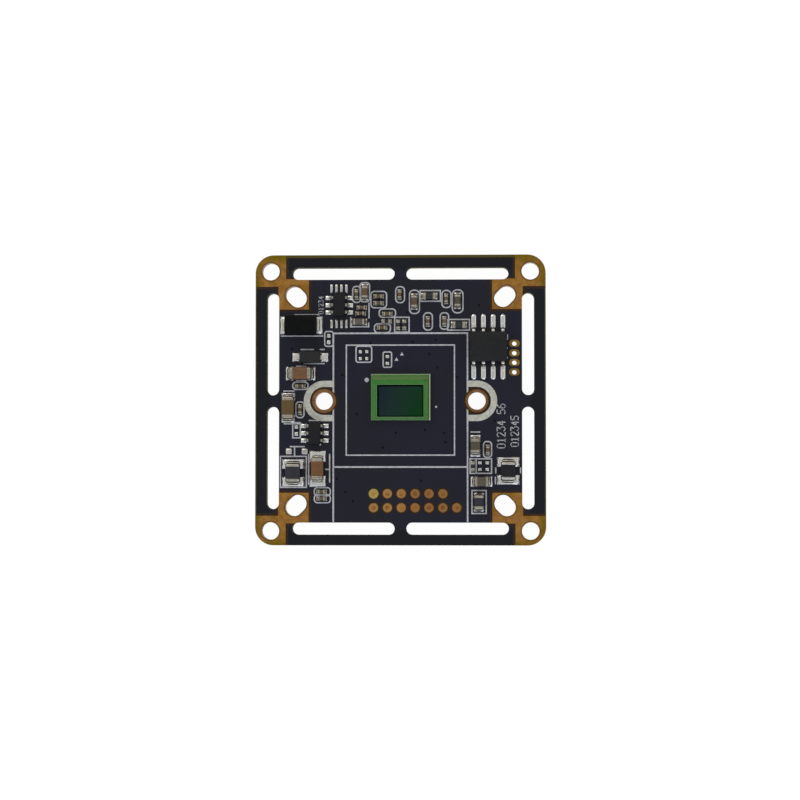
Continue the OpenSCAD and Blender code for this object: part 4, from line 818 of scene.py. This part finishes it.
def dome(low, high, crown, base, rings=6, turns=20):
    """A dome on a long land with round ends, as points and faces.

    The rim is two half circles apart by the straight between them. Rings shrink towards the middle
    line as rho goes from one to nought, and the height is crown * (1 - rho^3)^0.6.
    """
    middle, half = (low + high) / 2, (high - low) / 2
    along = int(half[1] > half[0])
    radius, straight = half[1 - along], half[along] - half[1 - along]
    quarter = np.linspace(-math.pi / 2, math.pi / 2, turns // 2)
    angle = np.concatenate([quarter, quarter + math.pi, quarter[:1]])
    shift = np.concatenate([np.full(turns // 2, straight), np.full(turns // 2, -straight), [straight]])
    rho = np.linspace(0, 1, rings)[:, None] ** 0.7
    points = np.zeros((rings, len(angle), 3))
    points[..., along] = middle[along] + shift * (0.35 + 0.65 * rho) + rho * radius * np.cos(angle)
    points[..., 1 - along] = middle[1 - along] + rho * radius * np.sin(angle)
    points[..., 2] = base + crown * (1 - rho**3) ** 0.6
    flat = points[::-1].copy()
    flat[..., 2] = base
    both = np.concatenate([points, flat])
    return both.reshape(-1, 3), grid_faces(len(both), len(angle))


spare = [box_of(p) for p in solids_of("spare_lands")]
crowned = [cushion(low, high, LAND_CROWN, BOARD_TOP) for low, high in spare]
made_of("crowned_spare_lands", crowned, dull_tin, "tin", "spare_lands")

square, rounded = [], []
for p in solids_of("part_lands"):
    corners, across = len(np.unique(np.round(p, 3), axis=0)), np.ptp(p[:, :2], axis=0)
    if corners == 8 and across.max() > SMALLEST_POOLED:
        square.append(cushion(*box_of(p), POOL_CROWN, LAND_TOP, rows=6))
    elif corners > 20 and across.min() > SMALLEST_POOLED:
        rounded.append(dome(*box_of(p), DOME_CROWN, LAND_TOP))
dulled(made_of("solder_pools", square + rounded, pool_solder, "solder"), 0.5)
print("crowned lands:", len(spare), "pools:", len(square), "square,", len(rounded), "rounded")

# %% [markdown]
# ## Formed leads
# A package's leads are cut from one strip of tinned copper and pressed into an S: a flat shoulder
# at the body, a steep slope, a flat foot. A strip like that is a section swept along a path. The
# path is an S made by the smooth step 3t^2 - 2t^3, and the section is a rounded rectangle. How far
# each lead reaches, how high and how wide it is come from the box of its CAD solid.


# %% Leads swept along an S
def padded(v):
    """A column of values with its ends repeated twice, for the rows that close the tips."""
    return np.concatenate([v[:1], v[:1], v, v[-1:], v[-1:]])[:, None]


def swept_lead(low, high, body, thick, shoulder, slope, rows=22, columns=14, power=5.0):
    """A lead as points and faces: height falls by the smooth step over the slope's length.

    At each place on the path the section is pushed out along the path's own upward normal. The
    section is a superellipse of the given power, half thick high and half the box wide. It shrinks
    to a point over two extra rows at either end.
    """
    middle, body_middle = (low + high) / 2, (body[0] + body[1]) / 2
    beyond = np.abs(middle - body_middle) - (body[1] - body[0]) / 2
    along = int(beyond[1] > beyond[0])
    out = np.sign(middle[along] - body_middle[along])
    start = low[along] if out > 0 else high[along]
    reach = high[along] - low[along]
    a = np.linspace(0, reach, rows)
    t = np.clip((a - shoulder) / slope, 0, 1)
    drop = high[2] - low[2] - thick
    height = low[2] + thick / 2 + drop * (1 - t * t * (3 - 2 * t))
    steep = np.gradient(height, a)
    length = np.sqrt(1 + steep**2)
    angle = np.linspace(0, 2 * math.pi, columns + 1)
    across = np.sign(np.cos(angle)) * np.abs(np.cos(angle)) ** (2 / power)
    up = np.sign(np.sin(angle)) * np.abs(np.sin(angle)) ** (2 / power)
    size = np.concatenate([[0.0, 0.85], np.ones(rows), [0.85, 0.0]])[:, None]
    points = np.zeros((rows + 4, columns + 1, 3))
    points[..., along] = start + out * (padded(a) - padded(steep / length) * up * size * thick / 2)
    points[..., 1 - along] = middle[1 - along] + across * size * (high[1 - along] - low[1 - along]) / 2
    points[..., 2] = padded(height) + padded(1 / length) * up * size * thick / 2
    return points.reshape(-1, 3), grid_faces(rows + 4, columns + 1)


# package, its leads' finish, and their thickness, shoulder and slope
LEADS = [("flash", lead_tin, 0.2, 0.20, 0.42), ("input_regulator", small_lead_tin, 0.14, 0.20, 0.15),
         ("core_regulator", small_lead_tin, 0.14, 0.20, 0.15), ("clamp_diode", lead_tin, 0.14, 0.01, 0.09)]
for name, finish, *form in LEADS:
    package = [np.array(c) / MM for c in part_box(f"{name}_body")]
    leads = [swept_lead(*box_of(p), package, *form) for p in solids_of(f"{name}_leads")]
    swept = made_of(f"{name}_swept_leads", leads, finish, "tin", f"{name}_leads")
    print(swept.name, len(swept.data.polygons), "faces")

# %% [markdown]
# ## Small chips
# Capacitors and resistors are blocks with dipped metal ends. Their edges are tumbled round before
# firing, and the dipped metal thins out at the corners, so a sharp box would look wrong. Each one
# is drawn as a superellipsoid: a cube whose corners are pulled in by a power, almost flat on its
# faces and round at its edges, fitted to the box of its CAD solid.


# %% Softened blocks
END_OVERLAP, NEAR, PUSHED_OUT = 0.06, 0.3, 1.02
# tones read off the object, by place; every other block gets one by chance
TONES = [(-13.07, 3.6, 0.12), (-14.68, -0.88, 0.40), (-10.85, -8.88, 0.02), (9.8, -5.88, 0.80),
         (10.6, -10.55, 0.90), (-4.66, 14.25, 0.21), (-5.42, 10.35, 1.0), (1.83, 13.0, 0.21),
         (7.48, 13.1, 0.8), (-5.2, 11.45, 0.66)]
dice = np.random.default_rng(38)


def soft_block(low, high, power, steps=5):
    """A rounded block in a box, as points and faces.

    A point p on the faces of a cube moves to p / (|x|^n + |y|^n + |z|^n)^(1/n), with n the power,
    and is then scaled to the box. Six grids of steps by steps points close the shape.
    """
    t = np.sin(np.linspace(-1, 1, steps) * math.pi / 2)
    a, b = np.meshgrid(t, t, indexing="ij")
    one = np.ones_like(a)
    sides = [(one, a, b), (-one, b, a), (b, one, a), (a, -one, b), (a, b, one), (b, a, -one)]
    cube = np.concatenate([np.stack(s, axis=-1).reshape(-1, 3) for s in sides])
    norm = (np.abs(cube) ** power).sum(axis=1, keepdims=True) ** (1 / power)
    # the power also pulls flat faces in near their rims, so all of it is pushed back out a little
    points = np.clip(cube / norm * PUSHED_OUT, -1, 1)
    faces = np.vstack([grid_faces(steps, steps, k * steps * steps) for k in range(6)])
    return (np.asarray(low) + high) / 2 + points * (np.asarray(high) - low) / 2, faces


def tone_at(x, y):
    """The tone listed for a place close to this one, or else one by chance."""
    near = [t for tx, ty, t in TONES if math.hypot(tx - x, ty - y) < NEAR]
    return near[0] if near else float(dice.uniform(0.25, 0.75))


def long_way(low, high):
    """One along the longer side of a box seen from above, nought along the others."""
    return np.eye(3)[np.argmax((high - low)[:2])]


def soft_blocks(name, finish, slot, node, power, steps, ends):
    """Every solid of a CAD node as a soft block, each with its own tone for the material.

    A body that wears dipped ends stops a little way inside them.
    """
    cut = min(np.ptp(solids_of(ends)[0][:, :2], axis=0)) - END_OVERLAP
    boxes = [box_of(p) for p in solids_of(node)]
    boxes = [(lo + cut * long_way(lo, hi), hi - cut * long_way(lo, hi)) for lo, hi in boxes]
    piece = made_of(name, [soft_block(lo, hi, power, steps) for lo, hi in boxes], finish, slot, node)
    middles = np.array([(lo + hi) / 2 for lo, hi in boxes])
    tones = np.array([tone_at(x, y) for x, y, _ in middles])
    away = ((points_of(piece.data)[:, None, :2] - middles[None, :, :2]) ** 2).sum(axis=2)
    marked(piece, "tone", tones[away.argmin(axis=1)])
    return piece


def end_cap(low, high, out, nose, rows=12, columns=17):
    """The dipped metal at one end of a chip, as points and faces.

    With u from nought at the bare ceramic to one at the very end, and v from -1 to 1 across, the
    height is tall * (1 - u^nose)^(1/3) * (1 - |v|^14)^(1/6), and the end's corners curve in. The
    vector out points away from the chip's middle.
    """
    along = int(abs(out[1]) > abs(out[0]))
    sign = np.sign(out[along])
    start = low[along] if sign > 0 else high[along]
    length, half = high[along] - low[along], (high[1 - along] - low[1 - along]) / 2
    u = np.sin(np.linspace(0, math.pi / 2, rows))[:, None]
    v = np.sin(np.linspace(-1, 1, columns) * math.pi / 2)[None, :]
    upper = np.zeros((rows, columns, 3))
    upper[..., along] = start + sign * u * length * (1 - 0.22 * u * np.abs(v) ** 5)
    upper[..., 1 - along] = (low[1 - along] + high[1 - along]) / 2 + v * half
    upper[..., 2] = low[2] + (high[2] - low[2]) * (1 - u**nose) ** (1 / 3) * (1 - np.abs(v) ** 14) ** (1 / 6)
    return closed_below(upper, low[2], wall=True)


def end_caps(name, finish, node, bodies, nose):
    """All dipped ends of a node, each turned away from the middle of the body nearest to it."""
    middles = np.array([sum(box_of(p)) / 2 for p in solids_of(bodies)])
    parts = []
    for low, high in (box_of(p) for p in solids_of(node)):
        away = (low + high) / 2 - middles
        parts.append(end_cap(low, high, away[np.linalg.norm(away, axis=1).argmin()], nose))
    return made_of(name, parts, finish, "tin", node)


KINDS = (("small", 16, 6), ("chip", 14, 5), ("bulk", 18, 8), ("filter", 18, 8), ("back", 14, 5))
BLOCKS = [(f"{kind}_ceramics", ceramic, "ceramic", f"{kind}_capacitor_bodies", power, steps,
           f"{kind}_capacitor_ends") for kind, power, steps in KINDS]
BLOCKS += [
    ("bead_ferrite", ferrite, "ferrite", "ferrite_bead_body", 16, 7, "ferrite_bead_ends"),
    ("left_coil_ferrite", ferrite, "ferrite", "left_inductor_core", 24, 8, "left_inductor_terminals"),
    ("right_coil_ferrite", dark_ferrite, "ferrite", "right_inductor_core", 24, 8, "right_inductor_terminals"),
]
for row in BLOCKS:
    print(row[0], len(soft_blocks(*row).data.polygons), "faces")

DIPPED = {"bulk": end_tin, "filter": end_tin, "small": small_tin, "chip": small_tin, "back": small_tin}
ENDS = [(f"{kind}_ceramic_ends", finish, f"{kind}_capacitor_ends", f"{kind}_capacitor_bodies", 6.0)
        for kind, finish in DIPPED.items()]
ENDS += [
    ("bead_ends", small_tin, "ferrite_bead_ends", "ferrite_bead_body", 5.0),
    ("left_coil_ends", left_tin, "left_inductor_terminals", "left_inductor_core", 3.0),
    ("right_coil_ends", right_tin, "right_inductor_terminals", "right_inductor_core", 3.0),
]
for row in ENDS:
    print(row[0], len(end_caps(*row).data.polygons), "faces")

# %% [markdown]
# ## Edges that catch the light
# Moulded packages, bent leads and sockets have the right form already, but their edges are
# mathematically sharp, which nothing real is. A copy of the solid is joined up, its flat faces are
# made whole again, and a narrow bevel rounds every edge. The copy then stands for the CAD solid.


# %% Softened copies of CAD solids
SHARPEST_BEND, FLAT_WITHIN = math.radians(28), math.radians(1.0)


def softened(name, finish, slot, node, bevel_mm):
    """A copy of a CAD node with its edges rounded by bevel_mm, which replaces the node."""
    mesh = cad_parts[node].data.copy()
    mesh.name = name
    work = bmesh.new()
    work.from_mesh(mesh)
    bmesh.ops.remove_doubles(work, verts=work.verts, dist=2e-7)
    bmesh.ops.dissolve_limit(work, angle_limit=FLAT_WITHIN, verts=work.verts, edges=work.edges)
    work.to_mesh(mesh)
    work.free()
    piece = bpy.data.objects.new(name, mesh)
    scene.collection.objects.link(piece)
    mesh.polygons.foreach_set("use_smooth", [True] * len(mesh.polygons))
    edge = piece.modifiers.new("edge", "BEVEL")
    edge.width, edge.segments, edge.limit_method = bevel_mm * MM, 2, "ANGLE"
    edge.angle_limit = SHARPEST_BEND
    edge.use_clamp_overlap, edge.harden_normals = True, True
    return finished(piece, finish, slot, node)


SOFTENED = [
    ("flash_moulding", moulding, "moulding", "flash_body", 0.05),
    ("input_regulator_moulding", regulator_black, "moulding", "input_regulator_body", 0.04),
    ("core_regulator_moulding", regulator_black, "moulding", "core_regulator_body", 0.04),
    ("rectifier_moulding", diode_black, "moulding", "rectifier_body", 0.05),
    ("rectifier_folded_straps", strap_tin, "tin", "rectifier_straps", 0.03),
    ("clamp_diode_moulding", clamp_grey, "moulding", "clamp_diode_body", 0.04),
    ("sense_resistor_blocks", coat, "resistor_coat", "sense_resistor_bodies", 0.03),
    ("sense_resistor_caps", small_tin, "tin", "sense_resistor_ends", 0.02),
    ("chip_resistor_blocks", coat, "resistor_coat", "chip_resistor_bodies", 0.02),
    ("chip_resistor_caps", small_tin, "tin", "chip_resistor_ends", 0.015),
    ("processor_moulding", moulding, "moulding", "processor_body", 0.03),
    ("crystal_ceramic", base_ceramic, "ceramic_dark", "crystal_base", 0.04),
    ("crystal_plated_lid", lid, "lid_metal", "crystal_lid", 0.04),
    ("main_socket_nylon", nylon, "nylon", "main_connector_housing", 0.10),
    ("filter_socket_nylon", nylon, "nylon", "filter_connector_housing", 0.10),
    ("main_socket_contacts", contact, "contact_gold", "main_connector_contacts", 0.03),
    ("filter_socket_contacts", contact, "contact_gold", "filter_connector_contacts", 0.03),
    ("main_socket_tabs", tin, "tin", "main_connector_tabs", 0.04),
    ("filter_socket_tabs", tin, "tin", "filter_connector_tabs", 0.04),
]
for row in SOFTENED:
    softened(*row)
print("softened", len(SOFTENED), "CAD nodes")

# %% [markdown]
# ## Plugged vias
# Where tracks change layers the board has plugged holes, vias, which lie under the lacquer as tiny
# rings with a dimple. Each is a profile turned round its own axis, so one grid of profile points
# by turning angle makes them all.

# %% Vias under the lacquer
VIAS = [
    (-14.2, 6.85), (3.8, 6.15), (4.85, 4.35), (10.3, 12.5), (-0.6, -4.15), (-5.7, -1.7), (-6.2, -13.1),
    (-7.2, -11.9), (3.2, -3.8), (5.75, -4.2), (2.7, -10.4), (-3.9, 7.6), (1.6, 7.7), (-7.6, 3.4),
    (7.4, 3.1), (-8.3, -10.2), (5.9, -5.4), (-2.3, -6.1), (12.3, -2.6), (9.4, 3.0), (-6.9, 15.2),
    (0.9, 11.6), (13.4, 10.9), (-14.9, 13.0), (4.6, 8.0),
]
VIA_RADIUS, VIA_UNDER = 0.17, -0.001


def turned(x, y, radii, heights, turns):
    """A profile of radii and heights over the board, turned round the upright at x, y."""
    angle = np.linspace(0, 2 * math.pi, turns + 1)
    r, up = np.array(radii)[:, None], np.array(heights)[:, None]
    points = np.stack([x + r * np.cos(angle), y + r * np.sin(angle), BOARD_TOP + up + 0 * angle], axis=-1)
    return points.reshape(-1, 3), grid_faces(len(r), turns + 1)[:, ::-1]


def via(x, y):
    """A ring 12 thousandths high round a dimple, and back to its middle under the board's face."""
    radii = np.array([0, 0.35, 0.55, 0.75, 0.92, 1.0]) * VIA_RADIUS
    heights = [0.001, 0.002, 0.010, 0.012, 0.008, 0.0] + [VIA_UNDER] * len(radii)
    return turned(x, y, [*radii, *radii[::-1]], heights, turns=16)


via_lacquer = Finish("via lacquer", (0.003, 0.003, 0.005), roughness=0.3, Specular_IOR_Level=0.12)
via_lacquer.over(via_lacquer.noise(0.1, 2.0), (0.006, 0.006, 0.009))
made_of("plugged_vias", [via(x, y) for x, y in VIAS], via_lacquer, "solder_mask")
print("vias:", len(VIAS))

# %% [markdown]
# ## Where the lacquer stops short
# The lacquer keeps a little clear of every land, so a ring of dark resin shows round the test
# lands and round the lens holder's rings. It could be painted on the board, but a ring of its own
# sits where its land sits: the same turned profile as a via, now with a flat rim.

# %% Rings of bare resin
bare_resin = Finish("bare resin", (0.020, 0.009, 0.004), roughness=0.5, Specular_IOR_Level=0.25)
bare_resin.over(bare_resin.noise(0.3, 2.0), (0.034, 0.017, 0.006))
RESIN_HIGH, RESIN_SLOPE, RESIN_OVERLAP, ROUND_TEST_LAND, ROUND_LENS_HOLE = 0.003, 0.02, 0.01, 0.16, 0.2


def resin_ring(x, y, land, wide, turns=40):
    """A flat ring that starts just inside a land's radius and reaches wide beyond it."""
    inner, outer = land - RESIN_OVERLAP, land + wide
    radii, heights = [inner, inner, outer - RESIN_SLOPE, outer], [0.0, RESIN_HIGH, RESIN_HIGH, 0.0]
    return turned(x, y, radii, heights, turns)


test_radius = float(np.ptp(solids_of("test_lands")[0][:, 0])) / 2
clear = [resin_ring(x, y, test_radius, ROUND_TEST_LAND) for x, y in test_spots]
for low, high in (box_of(p) for p in solids_of("lens_hole_lands")):
    x, y, _ = (low + high) / 2
    clear.append(resin_ring(x, y, (high[0] - low[0]) / 2, ROUND_LENS_HOLE, turns=72))
made_of("bare_resin_rings", clear, bare_resin, "solder_mask")
print("rings of bare resin:", len(clear))

# %% [markdown]
# ## Printed digits
# A board like this carries small printed characters. Here they are only digits in counting
# order, drawn by strokes: each digit is a few straight strokes in a cell four units wide and six
# high, and a stroke is a thin flat bar with the height of the ink.

# %% Digits in strokes
PATHS = {
    "0": [[(0, 1), (0, 5), (1, 6), (3, 6), (4, 5), (4, 1), (3, 0), (1, 0), (0, 1)]],
    "1": [[(1, 5), (2, 6), (2, 0)], [(0.8, 0), (3.2, 0)]],
    "2": [[(0, 5), (1, 6), (3, 6), (4, 5), (4, 4), (0, 0), (4, 0)]],
    "3": [[(0, 6), (4, 6), (2, 3.6), (3.2, 3.4), (4, 2.4), (4, 1), (3, 0), (1, 0), (0, 1)]],
    "4": [[(3, 0), (3, 6), (0, 2), (4, 2)]],
    "5": [[(4, 6), (0.4, 6), (0, 3.2), (3, 3.6), (4, 2.6), (4, 1), (3, 0), (0, 0.3)]],
    "6": [[(3.6, 6), (1.2, 5), (0, 3), (0, 1), (1, 0), (3, 0), (4, 1), (4, 2.4), (3, 3.4), (0, 3)]],
    " ": [],
}
CELL_HIGH, NARROWED, INK_HIGH, RUN_ON = 6, 0.72, 0.03, 0.4


def bar(start, end, width):
    """A flat bar between two places, with its ends run on by a share of its width."""
    run = (end - start) / np.linalg.norm(end - start)
    side, past = np.array([-run[1], run[0]]) * width / 2, run * width * RUN_ON
    base = np.array([start - past - side, end + past - side, end + past + side, start - past + side])
    points = np.vstack([np.c_[base, np.full(4, BOARD_TOP + up)] for up in (0, INK_HIGH)])
    faces = [(3, 2, 1, 0), (4, 5, 6, 7), (0, 1, 5, 4), (1, 2, 6, 5), (2, 3, 7, 6), (3, 0, 4, 7)]
    return points, np.array(faces)


def digits(text, x, y, height, width, pitch):
    """The strokes of a row of digits that starts at x, y and reads up the board."""
    unit, bars = height / CELL_HIGH, []
    for number, character in enumerate(text):
        left = y + number * unit * pitch
        for path in PATHS[character]:
            places = [np.array([x - v * unit, left + u * unit * NARROWED]) for u, v in path]
            bars += [bar(start, end, width) for start, end in zip(places, places[1:])]
    return bars


INKED = [("01234 56", 13.68, -6.15, 1.05, 0.115, 4.25), ("012345", 15.42, -5.95, 1.0, 0.115, 4.15),
         ("01234", -10.1, 11.45, 0.62, 0.09, 4.7)]
strokes = [stroke for row in INKED for stroke in digits(*row)]
printed = new_mesh("printed_digits", *gathered(strokes), smooth=False)
finished(printed, ink, "print_ink")
print("strokes:", len(strokes))

# %% Update the scene
bpy.context.view_layer.update()
